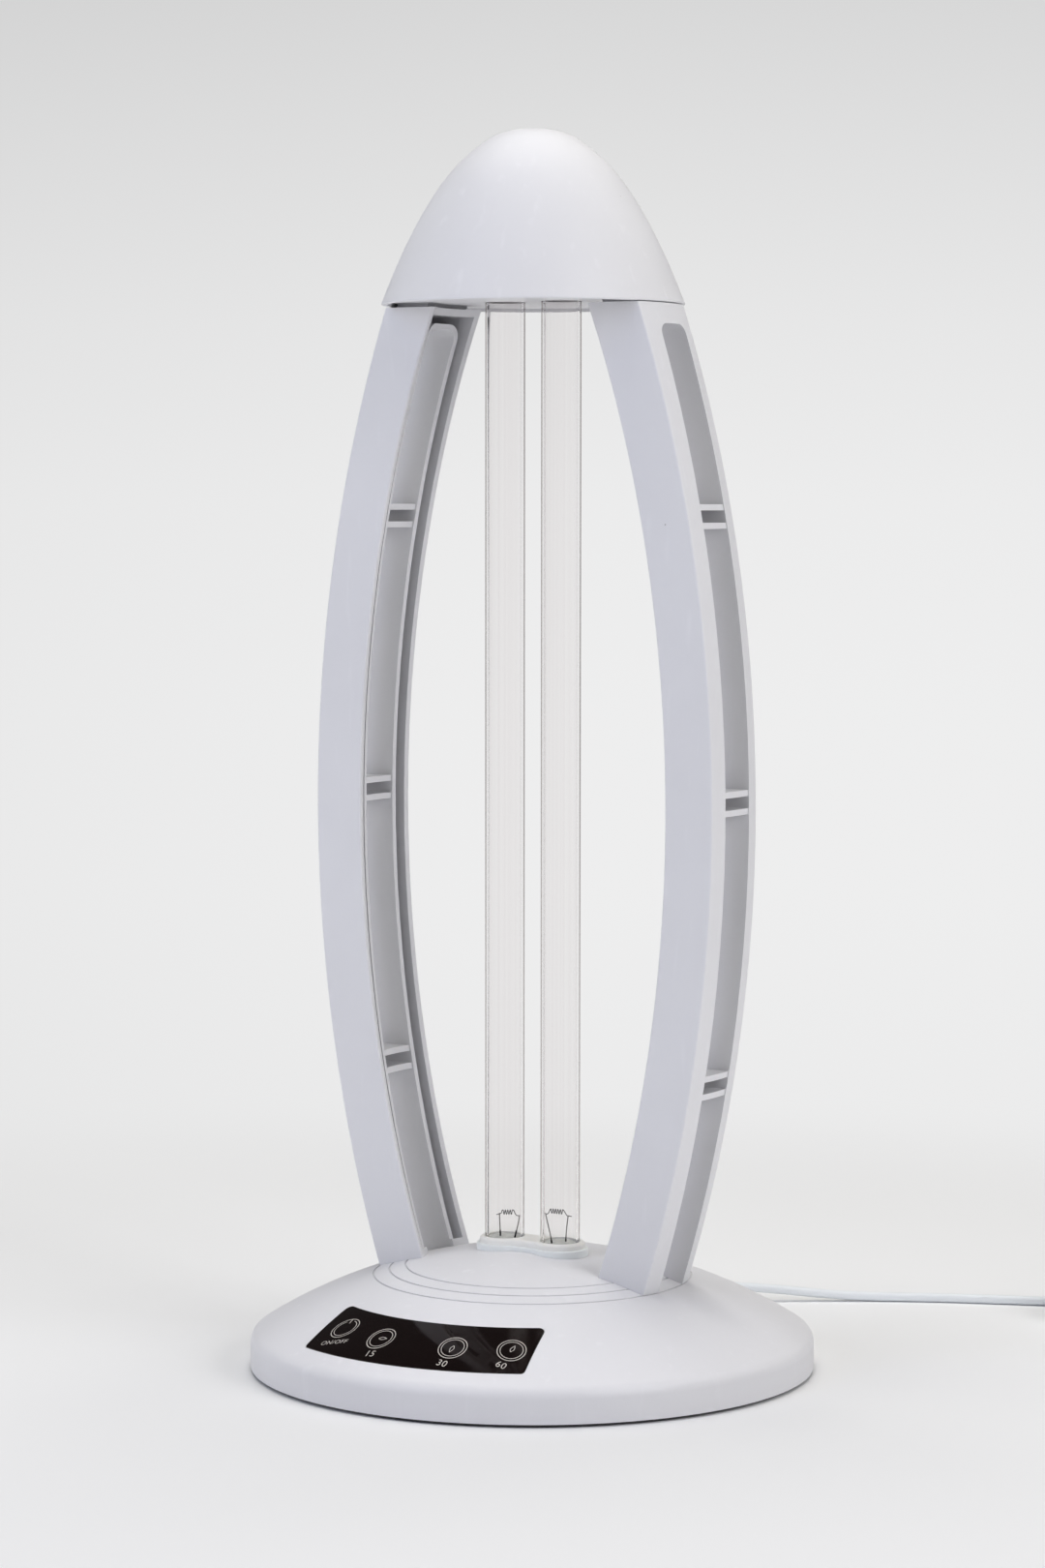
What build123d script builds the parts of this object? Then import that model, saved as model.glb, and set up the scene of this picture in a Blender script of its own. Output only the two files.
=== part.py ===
from build123d import *
import os
from math import cos, radians, sin, sqrt, tan

# Table-top germicidal lamp: a domed base, two bowed columns, a dome cap and a twin quartz tube.
# It stands on its rubber feet at z = 0 with its vertical axis at the origin. The columns stand
# on the X axis, the touch panel faces -Y and the mains cord leaves at +Y. Millimetres.

os.makedirs("parts", exist_ok=True)

# ---- Driving dimensions -------------------------------------------------------------------

# Base dome
base_radius = 100.0
base_height = 41.9  # crown of the dome above the table
rim_height = 12.3  # height of the dome's edge before it is rounded
rim_round = 5.0
base_wall = 2.5
shell_foot = 1.2  # lower edge of the shell above the table
step_count = 3  # fine round steps in the dome, the outer one under the columns' outer faces
step_pitch = 5.7
step_width = 0.7
step_depth = 0.45

# Columns: the outer face is part of a bowed barrel about the lamp's axis
bow_radius = 557.0
bow_reach = 81.75  # widest distance from the axis
bow_middle = 199.0  # height of the widest place
column_top = 374.5
column_width = 32.6
column_depth = 18.0
column_skin = 2.4
column_side = 2.6
column_roof = 2.5
column_floor = 2.5
column_edge_round = 0.7
slot_width = 17.4
slot_wall = 1.8
slot_corner = 4.2
slot_setback = 1.0  # the slot's walls end this far inside the column's side walls
slot_margin = 7.1  # from the top of the slot to the top of the column
rib_pairs = 3
rib_spacing = 98.0
rib_middle = 203.4
rib_pitch = 6.3
rib_thickness = 2.1
rib_recess = 0.4
rib_setback = 0.6
tongue_inset = 3.2  # the tongue on top stands this far inside the column's outline
peg_radius = 3.5
peg_length = 7.0
peg_offset_x = 46.0
peg_offset_y = 12.1

# Cap
cap_seam = 0.3  # shadow gap between the columns and the cap
cap_height = 61.2
cap_fullness = 0.44  # exponent of the dome's outline, 0.5 for a parabola
cap_wall = 2.2
cap_rim_round = 0.5
cap_recess = 1.2  # the plate lies this far inside the cap's lower edge
plate_thickness = 2.4
plate_screw_y = 8.0
cap_rib_count = 6
cap_rib_thickness = 1.6
cap_rib_depth = 5.0
cap_rib_height = 16.0

# Quartz tube
tube_radius = 7.0
tube_wall = 1.2
tube_spacing = 22.8
tube_drop = 3.3  # foot of the glass below the dome's crown
tube_press = 7.0  # solid glass at the foot, where the leads are sealed in
tube_top = 397.6
bridge_height = 385.1
bridge_radius = 3.0
bridge_wall = 1.0
tube_top_round = 5.6
pad_wall = 3.0
pad_height = 3.4

# Filaments, standing on their leads
lead_radius = 0.3
lead_lean = 1.5
lead_bend = 4.0
filament_rise = 12.7  # upper ends of the leads above the dome's crown
filament_radius = 0.9
filament_length = 8.8

# Lamp holder
holder_lobe = 8.9
holder_waist = 13.4
holder_rise = 3.7  # top of the holder above the dome's crown
holder_drop = 10.3  # foot of the holder below the dome's crown
holder_shoulder_height = 3.5
holder_shoulder_grow = 2.2
holder_round = 1.2
gasket_grow = 1.1
gasket_rise = 1.5
waist_round = 5.0
pin_radius = 1.0
pin_offset = 2.6
pin_length = 10.5
pin_reach = 6.0  # length of pin below the holder
socket_size = (38.0, 11.0, 8.0)
socket_corner = 1.0
lamp_lead_drop = 4.0
lamp_lead_bend = 3.0
clamp_size = (68.0, 22.0, 2.0)
clamp_corner = 3.0
clamp_window = (41.0, 14.0)
clamp_screw_offset = 28.5

# Touch panel: a curved lens in a shallow pocket, over a sensor film
panel_inner_radius = 70.8
panel_outer_radius = 92.8
panel_inner_half = 39.2
panel_outer_half = 43.4
panel_turn = 0.9  # the panel sits this many degrees round towards +X
panel_corner = 1.8
panel_proud = 0.15
panel_thickness = 0.9
film_thickness = 0.3
panel_cable_width = 8.0
panel_cable_thickness = 0.8
panel_cable_distance = 72.5  # from the lamp's axis to the cable where it leaves the pocket
panel_cable_height = 16.6
panel_cable_bend = 3.0

# Bottom cover, feet and screws
cover_bottom = 0.5
cover_floor = 1.8
cover_inset = 1.1
cover_lip = 1.9
cover_lip_width = 2.3
feet_circle_radius = 80.0
feet_count = 4
feet_angle = 45.0
foot_pad_radius = 7.0
foot_sink = 0.8
foot_chamfer = 0.4
cover_screw_circle_radius = 84.0
cover_screw_count = 3
cover_pad_height = 2.0
cover_screw_sink = 2.4
cover_screw_bite = 8.0  # length of thread in the post
clamp_screw_bite = 4.0
screw_radius = 1.5
screw_head_radius = 2.8
screw_head_height = 1.9
boss_radius = 4.2
peg_boss_radius = 5.6
peg_boss_drop = 15.8  # foot of the pegs' posts below the dome's crown

# Driver board and what stands on it
board_size = (92.0, 46.0, 1.6)
board_middle_y = 40.0
board_height = 9.8
board_screw_inset = 5.0
board_post_radius = 3.2
board_screw_bite = 4.0
board_corner = 2.0
choke_size = (22.0, 19.0, 13.0)
choke_core_depth = 8.0
choke_frame = 3.0
choke_spot = (-26.0, 42.0)
capacitor_radius = 5.0
capacitor_height = 14.0
capacitor_round = 0.6
capacitor_spots = [(8.0, 36.0), (20.0, 36.0)]
film_capacitor_size = (5.0, 12.0, 9.0)
film_capacitor_spots = [(30.0, 34.0), (38.0, 34.0)]
relay_size = (16.0, 12.0, 12.0)
relay_spot = (28.0, 52.0)
buzzer_radius = 6.0
buzzer_height = 8.0
buzzer_hole_radius = 1.2
buzzer_spot = (-5.0, 38.0)
terminal_size = (12.0, 9.0, 9.0)
terminal_spot = (0.0, 57.0)

# Mains cord, its gland, the coil of the length that is put away, and the plug
cord_diameter = 3.5
cord_exit_height = 6.6
gland_flange_radius = 4.6
gland_flange = 2.2
gland_neck_radius = 3.4
gland_collar = 1.8
gland_collar_radius = 4.2
gland_sleeve = 14.0
gland_sleeve_wall = 0.9
lead_wire_radius = 0.9
mains_lead_pitch = 5.0
mains_lead_run = 8.0
mains_lead_bend = 4.0
cord_rest = 1.8  # height of the cord's centre where it lies on the table
cord_middle = [
    (0.0, 124.5, 6.6),
    (4.4, 133.6, 6.4),
    (17.0, 144.0, 5.2),
    (32.0, 153.0, 3.5),
    (48.5, 162.5, 1.9),
    (77.5, 177.3, 1.8),
]
cord_last_run = 25.0
tail_run = 14.0
coil_centre = (151.5, 182.2)
coil_turns_wide = 3
coil_turns_high = 4
coil_mean_radius = 19.0
coil_heading = 22.0  # direction in which the cord runs into the coil, degrees from +X
coil_stub = 14.0
plug_length = 36.0
plug_width = 26.0
plug_height = 13.7
plug_corner = 3.0
plug_rear = (190.0, 136.8)
plug_pin_radius = 2.0
plug_pin_length = 19.0
plug_pin_spacing = 18.6
plug_heading = -75.0

# Clearances
slide_gap = 0.15  # between a piece and the opening that it drops into
hole_gap = 0.05  # round a screw, a pin or a wire in its hole
glass_gap = 0.2  # round the glass where it stands in the holder and the cap
fit_gap = 0.3  # between mouldings that are put together


# ---- Shared outlines ----------------------------------------------------------------------


def dome_height(distance, inset=0.0):
    """Height of the base dome, drawn inward by inset, at a distance from the axis."""
    return base_height - dome_radius + sqrt((dome_radius - inset) ** 2 - distance**2)


def bow_distance(height, inset=0.0):
    """Distance from the axis of the columns' outer face, drawn inward by inset, at a height."""
    return bow_reach - bow_radius + sqrt((bow_radius - inset) ** 2 - (height - bow_middle) ** 2)


def dome_solid(inset, foot=shell_foot):
    """Solid of the base dome, drawn inward by inset, from the height foot up."""
    edge = base_radius - inset
    corner = (edge, dome_height(edge, inset))
    with BuildPart() as dome:
        with BuildSketch(Plane.XZ) as section:
            with BuildLine():
                ThreePointArc((0, base_height - inset), (edge / 2, dome_height(edge / 2, inset)), corner)
                Polyline(corner, (edge, foot), (0, foot), (0, base_height - inset))
            make_face()
            fillet(section.vertices().sort_by_distance(corner)[0], rim_round - inset)
        revolve(axis=Axis.Z)
    return dome.part


# The slabs are turned through this angle to each side of +X before they are cut to width
slab_turn = 60.0
slab_side = Plane(
    origin=(0, 0, 0),
    x_dir=(cos(radians(slab_turn)), -sin(radians(slab_turn)), 0),
    z_dir=(-sin(radians(slab_turn)), -cos(radians(slab_turn)), 0),
)


def bow_slab(outer_inset, inner_inset, half_width, low, high):
    """Slab of the barrel at +X, between two insets from its outer face and two heights."""
    heights = (low, (low + high) / 2, high)
    outer = [(bow_distance(z, outer_inset), z) for z in heights]
    inner = [(bow_distance(z, inner_inset), z) for z in heights]
    with BuildPart() as slab:
        with BuildSketch(slab_side):
            with BuildLine():
                ThreePointArc(*outer)
                Line(outer[2], inner[2])
                ThreePointArc(*inner)
                Line(inner[0], outer[0])
            make_face()
        revolve(axis=Axis.Z, revolution_arc=2 * slab_turn)
        with BuildSketch(Plane.XY.offset(low)):
            with Locations((bow_reach, 0)):
                Rectangle(2 * bow_reach, 2 * half_width)
        extrude(amount=high - low, mode=Mode.INTERSECT)
    return slab.part


def slot_outline(grow):
    """Sketch of the column's slot seen along X, open at the foot and larger by grow."""
    low = base_height / 2
    high = column_top - slot_margin + grow
    with Locations((0, (low + high) / 2)):
        outline = Rectangle(slot_width + 2 * grow, high - low)
    fillet(outline.vertices().group_by(Axis.Y)[-1], slot_corner + grow)


def holder_block(grow, low, high):
    """Block on the lamp holder's waisted outline, larger by grow, between two heights."""
    with BuildPart() as block:
        with BuildSketch(Plane.XY.offset(low)):
            with GridLocations(tube_spacing, 0, 2, 1):
                Circle(holder_lobe + grow)
            Rectangle(tube_spacing, holder_waist + 2 * grow)
        extrude(amount=high - low)
        upright = block.edges().filter_by(Axis.Z)
        fillet([edge for edge in upright if abs(edge.center().X) < half_spacing], waist_round - grow)
    return block.part


def panel_outline(gap):
    """Sketch of the touch panel's curved four-sided outline, smaller by gap all round."""
    near = panel_inner_radius + gap
    far = panel_outer_radius - gap
    near_x = panel_inner_half - gap
    far_x = panel_outer_half - gap
    near_y = -sqrt(near**2 - near_x**2)
    far_y = -sqrt(far**2 - far_x**2)
    with BuildLine() as edge:
        ThreePointArc((-near_x, near_y), (0, -near), (near_x, near_y))
        Line((near_x, near_y), (far_x, far_y))
        ThreePointArc((far_x, far_y), (0, -far), (-far_x, far_y))
        Line((-far_x, far_y), (-near_x, near_y))
    outline = make_face(edge.edges())
    fillet(outline.vertices(), panel_corner)


def cap_distance(height, inset=0.0):
    """Distance from the axis of the cap's outline, drawn inward by inset, at a height over its rim."""
    return (cap_rim_radius - inset) * (1 - height / (cap_height - inset)) ** cap_fullness


def cap_section(inset):
    """Half section of the cap on the XZ plane, drawn inward by inset."""
    crown = cap_height - inset
    shares = (0, 0.3, 0.6, 0.8, 0.92)
    rising = [(cap_distance(share * crown, inset), cap_rim + share * crown) for share in shares]
    with BuildLine() as edge:
        Spline(*rising, (0, cap_rim + crown), tangents=[(-0.4, 1), (-1, 0)])
        Polyline((0, cap_rim + crown), (0, cap_rim), rising[0])
    make_face(edge.edges())


def screws(spots, seat, tip):
    """Pan-head screws with their heads on the seat and their tips at the height tip."""
    away = 1 if seat > tip else -1
    with BuildPart() as group:
        with BuildSketch(Plane.XY.offset(seat)):
            with Locations(*spots):
                Circle(screw_head_radius)
        extrude(amount=away * screw_head_height)
        with BuildSketch(Plane.XY.offset(seat)):
            with Locations(*spots):
                Circle(screw_radius)
        extrude(amount=tip - seat)
        with BuildSketch(Plane.XY.offset(seat + away * screw_head_height)):
            with Locations(*spots):
                Rectangle(screw_head_radius, screw_radius / 2)
                Rectangle(screw_radius / 2, screw_head_radius)
        extrude(amount=-away * screw_head_height / 2, mode=Mode.SUBTRACT)
    return group.part


def corner_radii(route):
    """Radius for each corner of a route: 0.45 of its shorter run over the tangent of half the turn."""
    points = [Vector(*point) for point in route]
    radii = []
    for before, corner, after in zip(points, points[1:], points[2:]):
        shorter = min((corner - before).length, (after - corner).length)
        turn = (corner - before).get_angle(after - corner)
        radii.append(0.45 * shorter / tan(radians(turn / 2)))
    return radii


def round_tube(route, radii, radius):
    """Round tube along straight runs joined by arcs."""
    with BuildPart() as tube:
        with BuildLine() as path:
            FilletPolyline(*route, radius=radii)
        with BuildSketch(Plane(path.line @ 0, z_dir=path.line % 0)):
            Circle(radius)
        sweep()
    return tube.part


# ---- Derived places -----------------------------------------------------------------------

# Dome through the crown and the rim's edge, and the heights that follow its crown
dome_rise = base_height - rim_height
dome_radius = (base_radius**2 + dome_rise**2) / (2 * dome_rise)
holder_top = base_height + holder_rise
holder_foot = base_height - holder_drop
holder_shoulder = holder_foot + holder_shoulder_height
tube_foot = base_height - tube_drop
filament_height = base_height + filament_rise
pin_foot = holder_foot - pin_reach
pin_top = pin_foot + pin_length
peg_boss_foot = base_height - peg_boss_drop

# The columns' outer faces meet the dome at this distance from the axis
column_foot = base_radius / 2
for _ in range(12):
    column_foot = bow_distance(dome_height(column_foot))

cap_rim = column_top + cap_seam
cap_rim_radius = bow_distance(cap_rim)
plate_bottom = cap_rim + cap_recess
plate_top = plate_bottom + plate_thickness
plate_radius = cap_distance(plate_top - cap_rim, cap_wall) - slide_gap
cover_top = cover_bottom + cover_floor
cover_pad_top = cover_top + cover_pad_height
board_top = board_height + board_size[2]
board_front = board_middle_y - board_size[1] / 2
pocket_depth = panel_thickness + film_thickness
half_column = column_width / 2
half_spacing = tube_spacing / 2
slot_half = slot_width / 2
slot_inset = column_depth - slot_setback
rib_half = slot_half + slot_wall / 2
bow_low = shell_foot + base_height / 2  # well inside the dome, which trims the columns' feet

peg_spots = [(x, y) for x in (-peg_offset_x, peg_offset_x) for y in (-peg_offset_y, peg_offset_y)]
rib_heights = [
    rib_middle + rib_spacing * (k - (rib_pairs - 1) / 2) + side * rib_pitch / 2
    for k in range(rib_pairs)
    for side in (-1, 1)
]
peg_surface = dome_height(sqrt(peg_offset_x**2 + peg_offset_y**2))
peg_bottom = peg_surface - peg_length
clamp_spots = [(-clamp_screw_offset, 0), (clamp_screw_offset, 0)]
pin_spots = [(tube + pin, 0) for tube in (-half_spacing, half_spacing) for pin in (-pin_offset, pin_offset)]
cover_screw_angles = [30 + 360 / cover_screw_count * k for k in range(cover_screw_count)]
cover_screw_spots = [
    (cover_screw_circle_radius * cos(radians(angle)), cover_screw_circle_radius * sin(radians(angle)))
    for angle in cover_screw_angles
]
board_spot_x = board_size[0] / 2 - board_screw_inset
board_spot_y = board_size[1] / 2 - board_screw_inset
board_ys = (board_middle_y - board_spot_y, board_middle_y + board_spot_y)
board_spots = [(x, y) for x in (-board_spot_x, board_spot_x) for y in board_ys]
plate_screw_x = bow_distance(column_top, column_depth / 2)
plate_screw_spots = [(x, y) for x in (-plate_screw_x, plate_screw_x) for y in (-plate_screw_y, plate_screw_y)]

# Mains cord: the gland sits in the shell's wall, and the coil's stubs point along the cord
gland_inside = base_radius - base_wall - fit_gap - gland_collar
gland_outside = base_radius
cord_exit = gland_outside + gland_flange + gland_sleeve
terminal_back = terminal_spot[1] + terminal_size[1] / 2
mains_lead_top = board_top + terminal_size[2] / 2
mains_lead_ends = (-mains_lead_pitch / 2, mains_lead_pitch / 2)
coil_outer_turn = coil_mean_radius + (coil_turns_wide - 1) * cord_diameter / 2
centre_x, centre_y = coil_centre
entry_x, entry_y = cos(radians(coil_heading)), sin(radians(coil_heading))
coil_entry = (
    centre_x - coil_outer_turn * entry_y - coil_stub * entry_x,
    centre_y + coil_outer_turn * entry_x - coil_stub * entry_y,
)
coil_leave = (centre_x + coil_outer_turn * entry_x, centre_y + coil_outer_turn * entry_y)
coil_end = (coil_leave[0] + coil_stub * entry_y, coil_leave[1] - coil_stub * entry_x)
plug_x, plug_y = cos(radians(plug_heading)), sin(radians(plug_heading))
cord_route = [
    (0, cord_exit, cord_exit_height),
    *cord_middle,
    (coil_entry[0] - cord_last_run * entry_x, coil_entry[1] - cord_last_run * entry_y, cord_rest),
    (*coil_entry, cord_rest),
]
tail_route = [
    (*coil_end, cord_rest),
    (coil_end[0] + tail_run * entry_y, coil_end[1] - tail_run * entry_x, cord_rest),
    (plug_rear[0] - tail_run * plug_x, plug_rear[1] - tail_run * plug_y, plug_height / 2),
    (*plug_rear, plug_height / 2),
]

# ---- Base shell ---------------------------------------------------------------------------

dome_body = dome_solid(0)
dome_core = dome_solid(base_wall)
pocket_floor = dome_solid(pocket_depth)

holder_collar = holder_block(holder_shoulder_grow, holder_shoulder, base_height)
holder_opening = holder_block(slide_gap, holder_foot, base_height)

# Posts under the dome for the cover, the columns' pegs, the clamp and the lamp holder
with BuildPart() as shell_posts:
    with BuildSketch(Plane.XY.offset(cover_pad_top)):
        with Locations(*cover_screw_spots):
            Circle(boss_radius)
    extrude(amount=base_height)
    with BuildSketch(Plane.XY.offset(peg_boss_foot)):
        with Locations(*peg_spots):
            Circle(peg_boss_radius)
    extrude(amount=base_height)
    with BuildSketch(Plane.XY.offset(holder_foot)):
        with Locations(*clamp_spots):
            Circle(boss_radius)
    extrude(amount=base_height)
    add(holder_collar)
    add(dome_body, mode=Mode.INTERSECT)

panel_across = (cos(radians(panel_turn)), sin(radians(panel_turn)), 0)
panel_plane = Plane(origin=(0, 0, shell_foot), x_dir=panel_across, z_dir=(0, 0, 1))

# The panel's pocket is all that lies over its floor inside the panel's outline
with BuildPart() as panel_pocket:
    with BuildSketch(panel_plane):
        panel_outline(0)
    extrude(amount=base_height)
    add(pocket_floor, mode=Mode.SUBTRACT)

with BuildPart() as base_shell:
    add(dome_body)
    add(dome_core, mode=Mode.SUBTRACT)
    add(shell_posts.part)
    add(panel_pocket.part, mode=Mode.SUBTRACT)
    # Fine round steps
    with BuildSketch(Plane.XZ):
        for k in range(step_count):
            step_radius = column_foot - k * step_pitch
            with Locations((step_radius, dome_height(step_radius))):
                Rectangle(step_width, 2 * step_depth)
    revolve(axis=Axis.Z, mode=Mode.SUBTRACT)
    add(holder_opening, mode=Mode.SUBTRACT)
    # Holes for the columns' pegs and for the screws that hold them
    with BuildSketch(Plane.XY.offset(peg_bottom - slide_gap)):
        with Locations(*peg_spots):
            Circle(peg_radius + slide_gap)
    extrude(amount=base_height, mode=Mode.SUBTRACT)
    with BuildSketch():
        with Locations(*peg_spots):
            Circle(screw_radius + slide_gap)
    extrude(amount=base_height, mode=Mode.SUBTRACT)
    # Pilot holes for the clamp's and the cover's screws
    with BuildSketch(Plane.XY.offset(holder_foot)):
        with Locations(*clamp_spots):
            Circle(screw_radius + hole_gap)
    extrude(amount=clamp_screw_bite, mode=Mode.SUBTRACT)
    with BuildSketch(Plane.XY.offset(cover_pad_top)):
        with Locations(*cover_screw_spots):
            Circle(screw_radius + hole_gap)
    extrude(amount=cover_screw_bite, mode=Mode.SUBTRACT)
    # Hole for the cord gland
    with BuildSketch(Plane.XZ.offset(-base_radius / 2)):
        with Locations((0, cord_exit_height)):
            Circle(gland_neck_radius + hole_gap)
    extrude(amount=-base_radius, mode=Mode.SUBTRACT)
    # Slit for the panel's flat cable
    with BuildSketch():
        with Locations((0, -panel_cable_distance)):
            Rectangle(panel_cable_width + 2 * slide_gap, panel_cable_thickness + 2 * slide_gap)
    extrude(amount=base_height, mode=Mode.SUBTRACT)
base_shell.part.label = "base_shell"
export_step(base_shell.part, "parts/base_shell.step")

# ---- Bottom cover, feet and their screws --------------------------------------------------

with BuildPart() as base_cover:
    with BuildSketch(Plane.XY.offset(cover_bottom)):
        Circle(base_radius - cover_inset)
    extrude(amount=shell_foot - cover_bottom)
    with BuildSketch(Plane.XY.offset(shell_foot)):
        Circle(base_radius - base_wall - fit_gap)
    extrude(amount=cover_top - shell_foot)
    # Lip inside the shell's wall
    with BuildSketch(Plane.XY.offset(cover_top)):
        Circle(base_radius - base_wall - fit_gap)
        Circle(base_radius - base_wall - fit_gap - cover_lip_width, mode=Mode.SUBTRACT)
        with Locations((0, base_radius)):
            Rectangle(3 * gland_collar_radius, 3 * gland_collar_radius, mode=Mode.SUBTRACT)
    extrude(amount=cover_lip)
    # Pads for the shell's posts and posts for the driver board
    with BuildSketch(Plane.XY.offset(cover_top)):
        with Locations(*cover_screw_spots):
            Circle(boss_radius)
    extrude(amount=cover_pad_height)
    with BuildSketch(Plane.XY.offset(cover_top)):
        with Locations(*board_spots):
            Circle(board_post_radius)
    extrude(amount=board_height - cover_top)
    with BuildSketch(Plane.XY.offset(cover_top)):
        with Locations(*board_spots):
            Circle(screw_radius + hole_gap)
    extrude(amount=board_height - cover_top, mode=Mode.SUBTRACT)
    # Counterbored screw holes and seats for the feet
    with BuildSketch(Plane.XY.offset(cover_bottom)):
        with Locations(*cover_screw_spots):
            Circle(screw_head_radius + fit_gap)
    extrude(amount=cover_screw_sink, mode=Mode.SUBTRACT)
    with BuildSketch(Plane.XY.offset(cover_bottom)):
        with Locations(*cover_screw_spots):
            Circle(screw_radius + slide_gap)
    extrude(amount=cover_pad_top - cover_bottom, mode=Mode.SUBTRACT)
    with BuildSketch(Plane.XY.offset(cover_bottom)):
        with PolarLocations(feet_circle_radius, feet_count, start_angle=feet_angle):
            Circle(foot_pad_radius + slide_gap)
    extrude(amount=foot_sink, mode=Mode.SUBTRACT)
base_cover.part.label = "base_cover"
export_step(base_cover.part, "parts/base_cover.step")

with BuildPart() as rubber_feet:
    with BuildSketch():
        with PolarLocations(feet_circle_radius, feet_count, start_angle=feet_angle):
            Circle(foot_pad_radius)
    extrude(amount=cover_bottom + foot_sink)
    chamfer(rubber_feet.edges().group_by(Axis.Z)[0], foot_chamfer)
rubber_feet.part.label = "rubber_feet"
export_step(rubber_feet.part, "parts/rubber_feet.step")

cover_screw_seat = cover_bottom + cover_screw_sink
cover_screw_group = screws(cover_screw_spots, cover_screw_seat, cover_pad_top + cover_screw_bite)
with BuildPart() as cover_screws:
    add(cover_screw_group)
cover_screws.part.label = "cover_screws"
export_step(cover_screws.part, "parts/cover_screws.step")

# ---- Touch panel --------------------------------------------------------------------------

panel_face = dome_solid(-panel_proud)
panel_seat = dome_solid(panel_thickness)

with BuildPart() as touch_panel:
    with BuildSketch(panel_plane):
        panel_outline(slide_gap)
    extrude(amount=base_height)
    add(panel_face, mode=Mode.INTERSECT)
    add(panel_seat, mode=Mode.SUBTRACT)
touch_panel.part.label = "touch_panel"
export_step(touch_panel.part, "parts/touch_panel.step")

with BuildPart() as touch_film:
    with BuildSketch(panel_plane):
        panel_outline(slide_gap)
    extrude(amount=base_height)
    add(panel_seat, mode=Mode.INTERSECT)
    add(pocket_floor, mode=Mode.SUBTRACT)
touch_film.part.label = "touch_film"
export_step(touch_film.part, "parts/touch_film.step")

# The flat cable drops from the film through the slit and runs back to the driver board
cable_top = dome_height(panel_cable_distance + panel_cable_thickness / 2, pocket_depth)
with BuildPart() as panel_cable:
    with BuildLine(Plane.YZ) as cable_path:
        FilletPolyline(
            (-panel_cable_distance, cable_top),
            (-panel_cable_distance, panel_cable_height),
            (board_front + board_screw_inset, panel_cable_height),
            (board_front + board_screw_inset, board_top),
            radius=panel_cable_bend,
        )
    with BuildSketch(Plane(cable_path.line @ 0, x_dir=(1, 0, 0), z_dir=cable_path.line % 0)):
        Rectangle(panel_cable_width, panel_cable_thickness)
    sweep()
panel_cable.part.label = "panel_cable"
export_step(panel_cable.part, "parts/panel_cable.step")

# ---- Columns ------------------------------------------------------------------------------

column_block = bow_slab(0, column_depth, half_column, bow_low, column_top)
raised_dome = dome_solid(-column_floor)
channel = bow_slab(
    column_skin, 1.5 * column_depth, half_column - column_side, bow_low, column_top - column_roof
)
slot_sleeve = bow_slab(column_skin / 2, slot_inset, slot_half + slot_wall, bow_low, column_top)
rib_inset = slot_inset - rib_setback
half_rib = rib_thickness / 2
rib_plates = [bow_slab(rib_recess, rib_inset, rib_half, z - half_rib, z + half_rib) for z in rib_heights]
tongue_half = half_column - tongue_inset
column_tongue = bow_slab(tongue_inset, column_depth - tongue_inset, tongue_half, column_top, plate_bottom)

# The sleeve round the slot and the rib plates are what the cuts leave standing
with BuildPart() as column_sleeve:
    add(slot_sleeve)
    with BuildSketch(Plane.YZ):
        slot_outline(slot_wall)
    extrude(amount=2 * bow_reach, mode=Mode.INTERSECT)

with BuildPart() as column_channel:
    add(channel)
    add(raised_dome, mode=Mode.SUBTRACT)
    add(column_sleeve.part, mode=Mode.SUBTRACT)

with BuildPart() as column_slot:
    with BuildSketch(Plane.YZ):
        slot_outline(0)
    extrude(amount=2 * bow_reach)
    for plate in rib_plates:
        add(plate, mode=Mode.SUBTRACT)

with BuildPart() as column_right:
    add(column_block)
    long_edges = [edge for edge in column_right.edges() if edge.bounding_box().size.Z > column_depth]
    fillet(long_edges, column_edge_round)
    add(column_channel.part, mode=Mode.SUBTRACT)
    add(column_slot.part, mode=Mode.SUBTRACT)
    add(dome_body, mode=Mode.SUBTRACT)
    # Tongue that lifts the cap's plate and its two screw holes
    add(column_tongue)
    with BuildSketch(Plane.XY.offset(column_top - column_roof)):
        with Locations(*plate_screw_spots[2:]):
            Circle(screw_radius + hole_gap)
    extrude(amount=base_height, mode=Mode.SUBTRACT)
    # Pegs that pass through the base shell
    with BuildSketch(Plane.XY.offset(peg_bottom)):
        with Locations(*peg_spots[2:]):
            Circle(peg_radius)
    extrude(amount=peg_length + column_floor / 2)
    with BuildSketch(Plane.XY.offset(peg_bottom)):
        with Locations(*peg_spots[2:]):
            Circle(screw_radius + hole_gap)
    extrude(amount=peg_length, mode=Mode.SUBTRACT)
column_right.part.label = "column_right"
export_step(column_right.part, "parts/column_right.step")

with BuildPart() as column_left:
    add(mirror(column_right.part, about=Plane.YZ, mode=Mode.PRIVATE))
column_left.part.label = "column_left"
export_step(column_left.part, "parts/column_left.step")

column_screw_group = screws(peg_spots, peg_boss_foot, peg_bottom + peg_length - screw_radius)
with BuildPart() as column_screws:
    add(column_screw_group)
column_screws.part.label = "column_screws"
export_step(column_screws.part, "parts/column_screws.step")

# ---- Cap ----------------------------------------------------------------------------------

with BuildPart() as cap_body:
    with BuildSketch(Plane.XZ):
        cap_section(0)
    revolve(axis=Axis.Z)

with BuildPart() as cap_core:
    with BuildSketch(Plane.XZ):
        cap_section(cap_wall)
    revolve(axis=Axis.Z)

# Ribs on the inside of the dome, which stand on the plate
with BuildPart() as cap_ribs:
    with BuildSketch(Plane.XY.offset(plate_top)):
        with PolarLocations(plate_radius - cap_rib_depth / 2, cap_rib_count, start_angle=180 / cap_rib_count):
            Rectangle(cap_rib_depth + cap_wall, cap_rib_thickness)
    extrude(amount=cap_rib_height)
    add(cap_body.part, mode=Mode.INTERSECT)

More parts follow.
